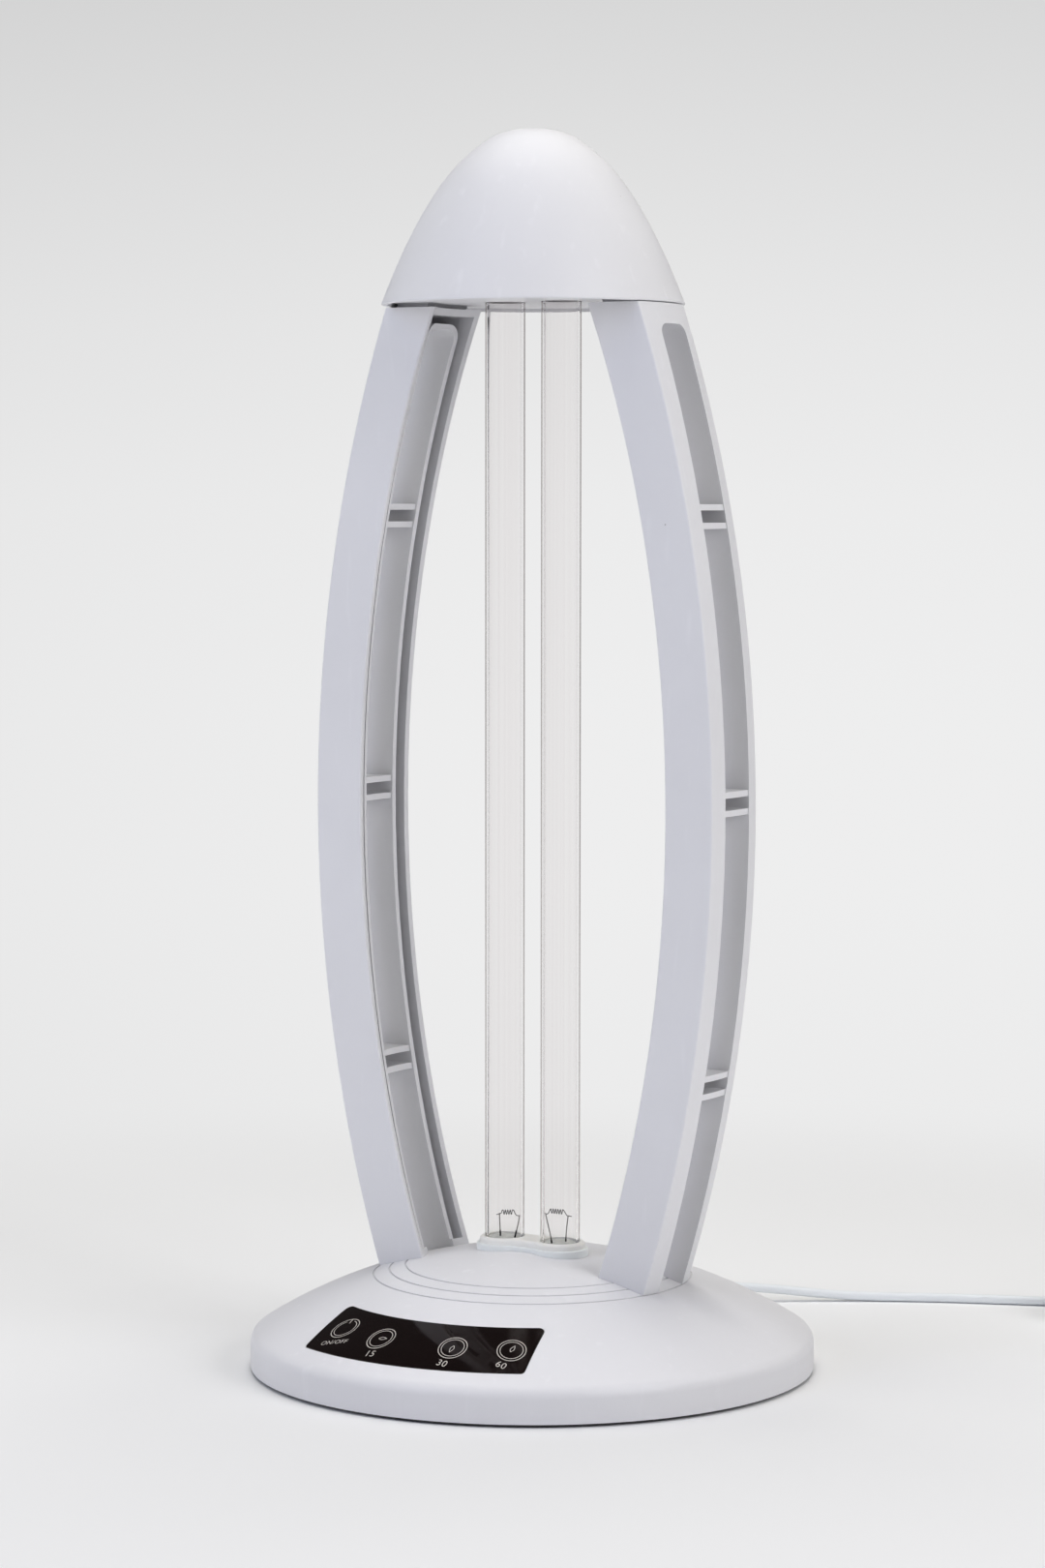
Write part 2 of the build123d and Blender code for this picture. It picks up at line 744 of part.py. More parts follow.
with BuildPart() as cap_dome:
    add(cap_body.part)
    add(cap_core.part, mode=Mode.SUBTRACT)
    add(cap_ribs.part)
    fillet(cap_dome.edges().group_by(Axis.Z)[0].sort_by(SortBy.RADIUS)[-1], cap_rim_round)
cap_dome.part.label = "cap_dome"
export_step(cap_dome.part, "parts/cap_dome.step")

with BuildPart() as cap_plate:
    with BuildSketch(Plane.XY.offset(plate_bottom)):
        Circle(plate_radius)
        with GridLocations(tube_spacing, 0, 2, 1):
            Circle(tube_radius + glass_gap, mode=Mode.SUBTRACT)
        with Locations(*plate_screw_spots):
            Circle(screw_radius + slide_gap, mode=Mode.SUBTRACT)
    extrude(amount=plate_thickness)
cap_plate.part.label = "cap_plate"
export_step(cap_plate.part, "parts/cap_plate.step")

plate_screw_group = screws(plate_screw_spots, plate_top, column_top - column_roof)
with BuildPart() as plate_screws:
    add(plate_screw_group)
plate_screws.part.label = "plate_screws"
export_step(plate_screws.part, "parts/plate_screws.step")

# Silicone pad on the plate that steadies the tops of the tubes
with BuildPart() as tube_pad:
    with BuildSketch(Plane.XY.offset(plate_top)):
        SlotCenterToCenter(tube_spacing, 2 * (tube_radius + pad_wall))
        with GridLocations(tube_spacing, 0, 2, 1):
            Circle(tube_radius + hole_gap, mode=Mode.SUBTRACT)
    extrude(amount=pad_height)
tube_pad.part.label = "tube_pad"
export_step(tube_pad.part, "parts/tube_pad.step")

# ---- Quartz tube and filaments ------------------------------------------------------------

bore_radius = tube_radius - tube_wall
with BuildPart() as quartz_bore:
    with BuildSketch(Plane.XY.offset(tube_foot + tube_press)):
        with GridLocations(tube_spacing, 0, 2, 1):
            Circle(bore_radius)
    extrude(amount=tube_top - tube_wall - tube_foot - tube_press)
    fillet(quartz_bore.edges().group_by(Axis.Z)[-1], tube_top_round - tube_wall)
    with BuildSketch(Plane.YZ.offset(-half_spacing)):
        with Locations((0, bridge_height)):
            Circle(bridge_radius - bridge_wall)
    extrude(amount=tube_spacing)

with BuildPart() as quartz_tube:
    with BuildSketch(Plane.XY.offset(tube_foot)):
        with GridLocations(tube_spacing, 0, 2, 1):
            Circle(tube_radius)
    extrude(amount=tube_top - tube_foot)
    fillet(quartz_tube.edges().group_by(Axis.Z)[-1], tube_top_round)
    with BuildSketch(Plane.YZ.offset(-half_spacing)):
        with Locations((0, bridge_height)):
            Circle(bridge_radius)
    extrude(amount=tube_spacing)
    add(quartz_bore.part, mode=Mode.SUBTRACT)
    # Channels in the press for the sealed-in leads
    with BuildSketch(Plane.XY.offset(tube_foot)):
        with Locations(*pin_spots):
            Circle(lead_radius + hole_gap)
    extrude(amount=tube_press, mode=Mode.SUBTRACT)
quartz_tube.part.label = "quartz_tube"
export_step(quartz_tube.part, "parts/quartz_tube.step")

# Each lead rises straight from its pin and leans outward above the press
lead_routes = [
    [(x, 0, pin_top), (x, 0, tube_foot + tube_press), (x + side * lead_lean, 0, filament_height)]
    for x, side in zip([spot[0] for spot in pin_spots], (-1, 1, -1, 1))
]
lead_tubes = [round_tube(route, [lead_bend], lead_radius) for route in lead_routes]
with BuildPart() as filament_leads:
    for lead in lead_tubes:
        add(lead)
filament_leads.part.label = "filament_leads"
export_step(filament_leads.part, "parts/filament_leads.step")

# The coils lie on the leads' upper ends
with BuildPart() as filament_coils:
    for x in (-half_spacing, half_spacing):
        with BuildSketch(Plane.YZ.offset(x - filament_length / 2)):
            with Locations((0, filament_height + hole_gap + filament_radius)):
                Circle(filament_radius)
        extrude(amount=filament_length)
filament_coils.part.label = "filament_coils"
export_step(filament_coils.part, "parts/filament_coils.step")

# ---- Lamp holder, its gasket, clamp and socket --------------------------------------------

holder_body = holder_block(0, holder_foot, holder_top)
holder_step = holder_block(holder_shoulder_grow, holder_foot, holder_shoulder)

with BuildPart() as lamp_holder:
    add(holder_body)
    fillet(lamp_holder.edges().group_by(Axis.Z)[-1], holder_round)
    # Step that stops the holder under the shell
    add(holder_step)
    # Cups for the tubes and holes for the pins
    with BuildSketch(Plane.XY.offset(tube_foot)):
        with GridLocations(tube_spacing, 0, 2, 1):
            Circle(tube_radius + glass_gap)
    extrude(amount=holder_top, mode=Mode.SUBTRACT)
    with BuildSketch(Plane.XY.offset(holder_foot)):
        with Locations(*pin_spots):
            Circle(pin_radius + hole_gap)
    extrude(amount=tube_foot - holder_foot, mode=Mode.SUBTRACT)
lamp_holder.part.label = "lamp_holder"
export_step(lamp_holder.part, "parts/lamp_holder.step")

gasket_body = holder_block(gasket_grow, holder_shoulder, base_height + gasket_rise)
gasket_hole = holder_block(hole_gap, holder_foot, holder_top)

with BuildPart() as holder_gasket:
    add(gasket_body)
    fillet(holder_gasket.edges().group_by(Axis.Z)[-1], gasket_rise / 3)
    add(gasket_hole, mode=Mode.SUBTRACT)
    add(dome_body, mode=Mode.SUBTRACT)
holder_gasket.part.label = "holder_gasket"
export_step(holder_gasket.part, "parts/holder_gasket.step")

with BuildPart() as holder_clamp:
    with BuildSketch(Plane.XY.offset(holder_foot - clamp_size[2])):
        RectangleRounded(clamp_size[0], clamp_size[1], clamp_corner)
        Rectangle(*clamp_window, mode=Mode.SUBTRACT)
        with Locations(*clamp_spots):
            Circle(screw_radius + slide_gap, mode=Mode.SUBTRACT)
    extrude(amount=clamp_size[2])
holder_clamp.part.label = "holder_clamp"
export_step(holder_clamp.part, "parts/holder_clamp.step")

clamp_screw_group = screws(clamp_spots, holder_foot - clamp_size[2], holder_foot + clamp_screw_bite)
with BuildPart() as clamp_screws:
    add(clamp_screw_group)
clamp_screws.part.label = "clamp_screws"
export_step(clamp_screws.part, "parts/clamp_screws.step")

with BuildPart() as contact_pins:
    with BuildSketch(Plane.XY.offset(pin_foot)):
        with Locations(*pin_spots):
            Circle(pin_radius)
    extrude(amount=pin_top - pin_foot)
    fillet(contact_pins.edges().group_by(Axis.Z)[0], pin_radius / 2)
contact_pins.part.label = "contact_pins"
export_step(contact_pins.part, "parts/contact_pins.step")

socket_top = holder_foot - fit_gap
socket_foot = socket_top - socket_size[2]
with BuildPart() as lamp_socket:
    with BuildSketch(Plane.XY.offset(socket_foot)):
        RectangleRounded(socket_size[0], socket_size[1], socket_corner)
    extrude(amount=socket_size[2])
    with BuildSketch(Plane.XY.offset(socket_foot)):
        with Locations(*pin_spots):
            Circle(pin_radius + hole_gap)
    extrude(amount=socket_size[2], mode=Mode.SUBTRACT)
lamp_socket.part.label = "lamp_socket"
export_step(lamp_socket.part, "parts/lamp_socket.step")

# Wires from the socket's four contacts to the front edge of the driver board
wire_landing = board_front + board_screw_inset
lamp_lead_routes = [
    [
        (x, 0, pin_foot - fit_gap),
        (x, 0, socket_foot - lamp_lead_drop),
        (x, wire_landing, socket_foot - lamp_lead_drop),
        (x, wire_landing, board_top),
    ]
    for x, _ in pin_spots
]
lamp_lead_tubes = [round_tube(route, [lamp_lead_bend] * 2, lead_wire_radius) for route in lamp_lead_routes]
with BuildPart() as lamp_leads:
    for lead in lamp_lead_tubes:
        add(lead)
lamp_leads.part.label = "lamp_leads"
export_step(lamp_leads.part, "parts/lamp_leads.step")

# ---- Driver board -------------------------------------------------------------------------

board_plane = Plane.XY.offset(board_top)

with BuildPart() as driver_board:
    with BuildSketch(Plane.XY.offset(board_height)):
        with Locations((0, board_middle_y)):
            RectangleRounded(board_size[0], board_size[1], board_corner)
        with Locations(*board_spots):
            Circle(screw_radius + slide_gap, mode=Mode.SUBTRACT)
    extrude(amount=board_size[2])
driver_board.part.label = "driver_board"
export_step(driver_board.part, "parts/driver_board.step")

board_screw_group = screws(board_spots, board_top, board_height - board_screw_bite)
with BuildPart() as board_screws:
    add(board_screw_group)
board_screws.part.label = "board_screws"
export_step(board_screws.part, "parts/board_screws.step")

# Ballast choke: a ferrite frame round a wound bobbin
with BuildPart() as choke_core:
    with BuildSketch(board_plane):
        with Locations(choke_spot):
            Rectangle(choke_size[0], choke_core_depth)
    extrude(amount=choke_size[2])
    with BuildSketch(board_plane.offset(choke_frame)):
        with Locations(choke_spot):
            Rectangle(choke_size[0] - 2 * choke_frame, choke_core_depth)
    extrude(amount=choke_size[2] - 2 * choke_frame, mode=Mode.SUBTRACT)
choke_core.part.label = "choke_core"
export_step(choke_core.part, "parts/choke_core.step")

with BuildPart() as choke_winding:
    with BuildSketch(board_plane.offset(choke_frame)):
        with Locations(choke_spot):
            RectangleRounded(choke_size[0] - 2 * choke_frame, choke_size[1], choke_frame)
    extrude(amount=choke_size[2] - 2 * choke_frame)
choke_winding.part.label = "choke_winding"
export_step(choke_winding.part, "parts/choke_winding.step")

with BuildPart() as electrolytic_capacitors:
    with BuildSketch(board_plane):
        with Locations(*capacitor_spots):
            Circle(capacitor_radius)
    extrude(amount=capacitor_height)
    fillet(electrolytic_capacitors.edges().group_by(Axis.Z)[-1], capacitor_round)
electrolytic_capacitors.part.label = "electrolytic_capacitors"
export_step(electrolytic_capacitors.part, "parts/electrolytic_capacitors.step")

with BuildPart() as film_capacitors:
    with BuildSketch(board_plane):
        with Locations(*film_capacitor_spots):
            Rectangle(film_capacitor_size[0], film_capacitor_size[1])
    extrude(amount=film_capacitor_size[2])
    fillet(film_capacitors.edges().filter_by(Axis.Z), capacitor_round)
film_capacitors.part.label = "film_capacitors"
export_step(film_capacitors.part, "parts/film_capacitors.step")

with BuildPart() as relay:
    with BuildSketch(board_plane):
        with Locations(relay_spot):
            Rectangle(relay_size[0], relay_size[1])
    extrude(amount=relay_size[2])
    chamfer(relay.edges().group_by(Axis.Z)[-1], capacitor_round)
relay.part.label = "relay"
export_step(relay.part, "parts/relay.step")

with BuildPart() as buzzer:
    with BuildSketch(board_plane):
        with Locations(buzzer_spot):
            Circle(buzzer_radius)
    extrude(amount=buzzer_height)
    with BuildSketch(board_plane.offset(buzzer_height)):
        with Locations(buzzer_spot):
            Circle(buzzer_hole_radius)
    extrude(amount=-buzzer_height / 2, mode=Mode.SUBTRACT)
buzzer.part.label = "buzzer"
export_step(buzzer.part, "parts/buzzer.step")

with BuildPart() as terminal_block:
    with BuildSketch(board_plane):
        with Locations(terminal_spot):
            Rectangle(terminal_size[0], terminal_size[1])
    extrude(amount=terminal_size[2])
    with BuildSketch(Plane.XZ.offset(-terminal_back)):
        with Locations(*[(x, mains_lead_top) for x in mains_lead_ends]):
            Circle(lead_wire_radius + hole_gap)
    extrude(amount=terminal_size[1] / 2, mode=Mode.SUBTRACT)
terminal_block.part.label = "terminal_block"
export_step(terminal_block.part, "parts/terminal_block.step")

# ---- Mains cord, gland, coil and plug -----------------------------------------------------

# The gland is moulded on the cord: a flange outside, a collar inside and a sleeve behind
with BuildPart() as cord_gland:
    with BuildSketch(Plane.XZ.offset(-gland_inside)):
        with Locations((0, cord_exit_height)):
            Circle(gland_collar_radius)
    extrude(amount=-gland_collar)
    with BuildSketch(Plane.XZ.offset(-gland_inside)):
        with Locations((0, cord_exit_height)):
            Circle(gland_neck_radius)
    extrude(amount=-(gland_outside - gland_inside))
    with BuildSketch(Plane.XZ.offset(-gland_outside)):
        with Locations((0, cord_exit_height)):
            Circle(gland_flange_radius)
    extrude(amount=-gland_flange)
    with BuildSketch(Plane.XZ.offset(-gland_outside - gland_flange)):
        with Locations((0, cord_exit_height)):
            Circle(gland_neck_radius)
    with BuildSketch(Plane.XZ.offset(-cord_exit)):
        with Locations((0, cord_exit_height)):
            Circle(cord_diameter / 2 + gland_sleeve_wall)
    loft()
cord_gland.part.label = "cord_gland"
export_step(cord_gland.part, "parts/cord_gland.step")

mains_lead_routes = [
    [
        (side * (lead_wire_radius + fit_gap), gland_inside, cord_exit_height),
        (side * (lead_wire_radius + fit_gap), gland_inside - mains_lead_run, cord_exit_height),
        (end, terminal_back + mains_lead_run, mains_lead_top),
        (end, terminal_spot[1] + fit_gap, mains_lead_top),
    ]
    for side, end in zip((-1, 1), mains_lead_ends)
]
mains_lead_tubes = [round_tube(route, [mains_lead_bend] * 2, lead_wire_radius) for route in mains_lead_routes]
with BuildPart() as mains_leads:
    for lead in mains_lead_tubes:
        add(lead)
mains_leads.part.label = "mains_leads"
export_step(mains_leads.part, "parts/mains_leads.step")

cord_radii = corner_radii(cord_route)
cord_tube = round_tube(cord_route, cord_radii, cord_diameter / 2)
with BuildPart() as power_cord:
    add(cord_tube)
power_cord.part.label = "power_cord"
export_step(power_cord.part, "parts/power_cord.step")

# The coil is the outer shape of its turns, with a straight stub where the cord runs in and out
coil_plane = Plane(origin=(*coil_centre, 0), x_dir=(1, 0, 0), z_dir=(0, -1, 0))
coil_height = coil_turns_high * cord_diameter
with BuildPart() as cord_coil:
    with BuildSketch(coil_plane):
        with Locations((coil_mean_radius, coil_height / 2)):
            RectangleRounded(coil_turns_wide * cord_diameter, coil_height, 0.9 * cord_diameter / 2)
    revolve(axis=Axis((*coil_centre, 0), (0, 0, 1)))
    with BuildSketch(Plane(origin=(*coil_entry, cord_rest), z_dir=(entry_x, entry_y, 0))):
        Circle(cord_diameter / 2)
    extrude(amount=coil_stub)
    with BuildSketch(Plane(origin=(*coil_leave, cord_rest), z_dir=(entry_y, -entry_x, 0))):
        Circle(cord_diameter / 2)
    extrude(amount=coil_stub)
cord_coil.part.label = "cord_coil"
export_step(cord_coil.part, "parts/cord_coil.step")

tail_radii = corner_radii(tail_route)
tail_tube = round_tube(tail_route, tail_radii, cord_diameter / 2)
with BuildPart() as cord_tail:
    add(tail_tube)
cord_tail.part.label = "cord_tail"
export_step(cord_tail.part, "parts/cord_tail.step")

# Two-pin plug with a waisted body
plug_centre = (*plug_rear, plug_height / 2)
plug_plane = Plane(origin=plug_centre, x_dir=(-plug_y, plug_x, 0), z_dir=(plug_x, plug_y, 0))
with BuildPart() as plug_body:
    for share, width, height in ((0, 0.5, 0.6), (0.35, 0.62, 0.8), (0.75, 1, 1), (1, 1, 1)):
        with BuildSketch(plug_plane.offset(share * plug_length)):
            RectangleRounded(width * plug_width, height * plug_height, plug_corner)
    loft(ruled=True)
plug_body.part.label = "plug_body"
export_step(plug_body.part, "parts/plug_body.step")

with BuildPart() as plug_pins:
    with BuildSketch(plug_plane.offset(plug_length)):
        with GridLocations(plug_pin_spacing, 0, 2, 1):
            Circle(plug_pin_radius)
    extrude(amount=plug_pin_length)
    pin_ends = plug_pins.edges().filter_by(GeomType.CIRCLE).sort_by(Axis(plug_plane.origin, plug_plane.z_dir))
    fillet(pin_ends[-2:], plug_pin_radius / 2)
plug_pins.part.label = "plug_pins"
export_step(plug_pins.part, "parts/plug_pins.step")

print("cord radii", [round(radius, 1) for radius in cord_radii + tail_radii])
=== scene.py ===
from math import cos, pi, radians, sin

import bpy
import numpy as np
from mathutils import Matrix, Vector


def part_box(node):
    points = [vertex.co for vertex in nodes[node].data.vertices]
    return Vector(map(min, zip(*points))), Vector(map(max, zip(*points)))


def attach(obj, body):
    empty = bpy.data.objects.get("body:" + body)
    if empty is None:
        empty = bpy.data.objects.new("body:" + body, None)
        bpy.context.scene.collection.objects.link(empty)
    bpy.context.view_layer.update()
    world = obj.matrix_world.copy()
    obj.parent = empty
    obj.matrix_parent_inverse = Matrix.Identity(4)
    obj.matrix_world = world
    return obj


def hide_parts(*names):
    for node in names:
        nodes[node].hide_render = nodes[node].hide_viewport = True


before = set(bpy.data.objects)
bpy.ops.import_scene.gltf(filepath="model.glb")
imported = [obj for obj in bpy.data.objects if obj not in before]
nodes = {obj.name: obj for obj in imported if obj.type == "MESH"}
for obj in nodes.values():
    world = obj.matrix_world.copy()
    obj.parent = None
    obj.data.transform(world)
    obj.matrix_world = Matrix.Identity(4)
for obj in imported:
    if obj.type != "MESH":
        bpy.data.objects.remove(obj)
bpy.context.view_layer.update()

# ---- Camera -------------------------------------------------------------------------------------
# It looks across the lamp's front from the right, a little above the middle of the columns.
# The lens is long, so the columns hardly converge.

eye_distance = 1.42527
eye_height = 0.30712
eye_azimuth = 0.53154
eye_pitch = 0.070018
eye_yaw = -0.0025318
eye_roll = 0.00084
lens_mm = 93.09

right = Vector((cos(eye_azimuth), sin(eye_azimuth), 0))
away = Vector((-sin(eye_azimuth), cos(eye_azimuth), 0))
side = cos(eye_yaw) * right - sin(eye_yaw) * away
ahead = sin(eye_yaw) * right + cos(eye_yaw) * away
forward = cos(eye_pitch) * ahead - sin(eye_pitch) * Vector((0, 0, 1))
upward = sin(eye_pitch) * ahead + cos(eye_pitch) * Vector((0, 0, 1))
camera_x = cos(eye_roll) * side + sin(eye_roll) * upward
camera_y = cos(eye_roll) * upward - sin(eye_roll) * side

camera = bpy.data.objects.new("camera", bpy.data.cameras.new("camera"))
camera.data.lens = lens_mm
camera.data.sensor_width = 36.0
turn = Matrix((camera_x, camera_y, -forward)).transposed().to_4x4()
camera.matrix_world = Matrix.Translation(-eye_distance * away + Vector((0, 0, eye_height))) @ turn
bpy.context.collection.objects.link(camera)
bpy.context.scene.camera = camera

# ---- Mains cord ---------------------------------------------------------------------------------
# Round white two-core PVC flex. It leaves the gland at the back of the base, drops to the table
# and runs off to the right. The rest of its length is wound into a tied coil, with the plug by it.

cord_diameter = 0.0035
cord_rest = 0.0018
cord_exit = (0.0, 0.1162, 0.0066)
coil_centre = np.array((0.1515, 0.1822))
coil_outer_turn = 0.0225
coil_heading = radians(22.0)
coil_stub = 0.014
last_run = 0.025
tail_run = 0.014
plug_rear = np.array((0.1900, 0.1368))
plug_middle_height = 0.00685
plug_heading = radians(-75.0)

entry = np.array((cos(coil_heading), sin(coil_heading)))
entry_left = np.array((-entry[1], entry[0]))
plug_forward = np.array((cos(plug_heading), sin(plug_heading)))
coil_start = coil_centre + coil_outer_turn * entry_left
coil_leave = coil_centre + coil_outer_turn * entry
coil_end = coil_leave - coil_stub * entry_left

route = [
    cord_exit,
    (0.0, 0.1245, 0.0066),
    (0.0044, 0.1336, 0.0064),
    (0.0170, 0.1440, 0.0052),
    (0.0320, 0.1530, 0.0035),
    (0.0485, 0.1625, 0.0019),
    (0.0775, 0.1773, 0.0018),
    (*(coil_start - (coil_stub + last_run) * entry), cord_rest),
    (*(coil_start - coil_stub * entry), cord_rest),
]


def eased(share):
    """Smooth rise from 0 to 1 while share goes from 0 to 1: 3 s^2 - 2 s^3."""
    share = np.clip(share, 0, 1)
    return share * share * (3 - 2 * share)


# Each turn of the coil lies in one place of a stack three wide and four high, and each place is
# next to the one before. The last part of every turn shifts to the next place.
stack = [(0, 0), (1, 0), (2, 0), (2, 1), (2, 2), (2, 3), (1, 3), (0, 3), (0, 2), (1, 2), (1, 1), (0, 1)]
turn_points = 16
shift_start = 0.6
lap = np.arange(0, (len(stack) - 1) * turn_points + turn_points // 4 + 1) / turn_points
step = np.minimum(lap.astype(int), len(stack) - 1)
blend = eased((lap - step - shift_start) / (1 - shift_start))
places = np.array(stack + [stack[-1]], float)
place = places[step] * (1 - blend[:, None]) + places[step + 1] * blend[:, None]
widen = 1 / cos(pi / turn_points)  # the curve runs inside its control points
turn_radius = (coil_outer_turn - cord_diameter * place[:, 0]) * widen
turn_angle = coil_heading + pi / 2 - 2 * pi * lap
turns = np.stack(
    [
        coil_centre[0] + turn_radius * np.cos(turn_angle),
        coil_centre[1] + turn_radius * np.sin(turn_angle),
        cord_rest + cord_diameter * place[:, 1],
    ],
    1,
)
tail = [
    (*(coil_leave - 0.55 * coil_stub * entry_left), cord_rest + 0.5 * cord_diameter),
    (*coil_end, cord_rest + 0.0002),
    (*(coil_end - tail_run * entry_left), cord_rest),
    (*(plug_rear - tail_run * plug_forward), plug_middle_height),
    (*plug_rear, plug_middle_height),
]
points = np.array([*route, *turns[1:].tolist(), *tail])

curve = bpy.data.curves.new("mains_cord", "CURVE")
curve.dimensions = "3D"
curve.resolution_u = 6
curve.bevel_depth = 1.0
curve.bevel_resolution = 5
curve.use_fill_caps = True
spline = curve.splines.new("NURBS")
spline.points.add(len(points) - 1)
spline.points.foreach_set("co", np.hstack([points, np.ones((len(points), 1))]).ravel())
spline.points.foreach_set("radius", np.full(len(points), cord_diameter / 2))
spline.order_u = 3
spline.use_endpoint_u = True
mains_cord = bpy.data.objects.new("mains_cord", curve)
bpy.context.collection.objects.link(mains_cord)
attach(mains_cord, "root")
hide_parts("power_cord", "cord_coil", "cord_tail")


def shader(name, colour, roughness, **inputs):
    """A material with one Principled shader, its node tree and the shader."""
    material = bpy.data.materials.new(name)
    material.use_nodes = True
    tree = material.node_tree
    principled = tree.nodes["Principled BSDF"]
    principled.inputs["Base Color"].default_value = (*colour, 1)
    principled.inputs["Roughness"].default_value = roughness
    for key, value in inputs.items():
        principled.inputs[key.replace("_", " ")].default_value = value
    return material, tree, principled


def noise(tree, size, detail=3.0, stretch=(1, 1, 1)):
    """Noise with patches of about the given size in metres, stretched along the axes of the piece."""
    place = tree.nodes.new("ShaderNodeTexCoord")
    scale = tree.nodes.new("ShaderNodeMapping")
    scale.inputs["Scale"].default_value = [1 / (size * k) for k in stretch]
    pattern = tree.nodes.new("ShaderNodeTexNoise")
    pattern.inputs["Scale"].default_value = 1.0
    pattern.inputs["Detail"].default_value = detail
    tree.links.new(place.outputs["Object"], scale.inputs["Vector"])
    tree.links.new(scale.outputs[0], pattern.inputs["Vector"])
    return pattern.outputs["Fac"]


def spread(tree, value, low, high, bottom=0.3, top=0.7):
    """Takes a value from bottom to top onto low to high."""
    ramp = tree.nodes.new("ShaderNodeMapRange")
    for socket, number in zip(("From Min", "From Max", "To Min", "To Max"), (bottom, top, low, high)):
        ramp.inputs[socket].default_value = number
    tree.links.new(value, ramp.inputs["Value"])
    return ramp.outputs["Result"]


def mixed(tree, factor, first, second):
    """Colour between two, each a colour or another socket, by a factor socket."""
    mix = tree.nodes.new("ShaderNodeMix")
    mix.data_type = "RGBA"
    tree.links.new(factor, mix.inputs[0])
    for socket, colour in ((mix.inputs[6], first), (mix.inputs[7], second)):
        if isinstance(colour, tuple):
            socket.default_value = (*colour, 1)
        else:
            tree.links.new(colour, socket)
    return mix.outputs[2]


def roughen(tree, principled, height, depth):
    """Bump of a given depth in metres from a height socket."""
    bump = tree.nodes.new("ShaderNodeBump")
    bump.inputs["Strength"].default_value = 1.0
    bump.inputs["Distance"].default_value = depth
    tree.links.new(height, bump.inputs["Height"])
    tree.links.new(bump.outputs["Normal"], principled.inputs["Normal"])


def finish(
    name, colour, roughness, grain=0.0006, depth=0.00001, patch=0.02, shade=0.04, stretch=(1, 1, 1), **inputs
):
    """Finish whose colour drifts in patches, and whose grain moves its gloss and its surface."""
    material, tree, principled = shader(name, colour, roughness, **inputs)
    darker = tuple(c * (1 - shade) for c in colour)
    lighter = tuple(min(c * (1 + shade), 1.0) for c in colour)
    tone = mixed(tree, noise(tree, patch, 4.0), darker, lighter)
    fine = noise(tree, grain, 3.0, stretch)
    tree.links.new(tone, principled.inputs["Base Color"])
    tree.links.new(spread(tree, fine, roughness * 0.88, roughness * 1.12), principled.inputs["Roughness"])
    roughen(tree, principled, fine, depth)
    return material


curve.materials.append(finish("cord_pvc", (0.80, 0.83, 0.86), 0.38, grain=0.0008, depth=0.00002, patch=0.03))

# ---- Cord tie -----------------------------------------------------------------------------------
# A flat strap of white PVC closed round the coil's turns, opposite the place where they start.


def put(name, verts, faces, slot, material, replaced=(), smooth=True):
    """A mesh piece from points and faces. It rides on the lamp's body and has one finish."""
    mesh = bpy.data.meshes.new(name)
    mesh.from_pydata(np.asarray(verts, float).tolist(), [], [tuple(face) for face in faces])
    mesh.polygons.foreach_set("use_smooth", np.full(len(mesh.polygons), smooth))
    mesh.materials.append(material)
    mesh.update()
    piece = bpy.data.objects.new(name, mesh)
    bpy.context.collection.objects.link(piece)
    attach(piece, "root")
    if replaced:
        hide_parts(*replaced)
    return piece


def grid_faces(rows, columns, wrap=False, wrap_rows=False):
    """Four-sided faces of a grid of points, closed round along its columns or its rows if wished."""
    steps_down = np.arange(rows if wrap_rows else rows - 1)
    steps_along = np.arange(columns if wrap else columns - 1)
    i, j = (index.ravel() for index in np.meshgrid(steps_down, steps_along, indexing="ij"))
    here, below = i * columns, (i + 1) % rows * columns
    beside = (j + 1) % columns
    return np.stack([here + j, here + beside, below + beside, below + j], 1).tolist()


tie_angle = coil_heading - radians(115)
tie_width = 0.006
tie_skin = 0.0007
tie_room = 0.0002
tie_low = 0.0001
tie_sides = 48
bundle_in = coil_outer_turn - 2.5 * cord_diameter - tie_room
bundle_out = coil_outer_turn + 0.5 * cord_diameter + tie_room
bundle_top = cord_rest + 3.5 * cord_diameter + tie_room
turn_round = np.linspace(0, 2 * pi, tie_sides, endpoint=False)


def bundle_loop(grow):
    """Rounded rectangle round the bundle's section, drawn outward by grow: |x/a|^4 + |z/b|^4 = 1."""
    half_wide = (bundle_out - bundle_in) / 2 + grow
    half_high = bundle_top / 2 + grow + min(grow, tie_room)
    bend = (np.abs(np.cos(turn_round)) ** 4 + np.abs(np.sin(turn_round)) ** 4) ** -0.25
    from_axis = (bundle_in + bundle_out) / 2 + half_wide * bend * np.cos(turn_round)
    height = np.maximum(bundle_top / 2 + half_high * bend * np.sin(turn_round), tie_low)
    return from_axis, height


def strap_ring(grow, sideways):
    """The bundle loop, set to one side of the tie's middle plane."""
    from_axis, height = bundle_loop(grow)
    out = np.array((cos(tie_angle), sin(tie_angle)))
    along = np.array((-out[1], out[0]))
    flat = coil_centre + from_axis[:, None] * out + sideways * along
    return np.hstack([flat, height[:, None]])


strap = np.stack(
    [
        strap_ring(0.0, -tie_width / 2),
        strap_ring(0.0, tie_width / 2),
        strap_ring(tie_skin, tie_width / 2),
        strap_ring(tie_skin, -tie_width / 2),
    ]
)
tie_pvc = finish("tie_pvc", (0.78, 0.78, 0.79), 0.45, grain=0.0005, patch=0.01)
strap_faces = grid_faces(len(strap), tie_sides, wrap=True, wrap_rows=True)
put("cord_tie", strap.reshape(-1, 3), strap_faces, "cord_pvc", tie_pvc)

# ---- Studio -------------------------------------------------------------------------------------
# A wide floor of pale paper in a pale room, lit from above and from the sides. Near the lamp the
# paper takes real light and shadow. Further off it shows an even tone, which the room carries on.

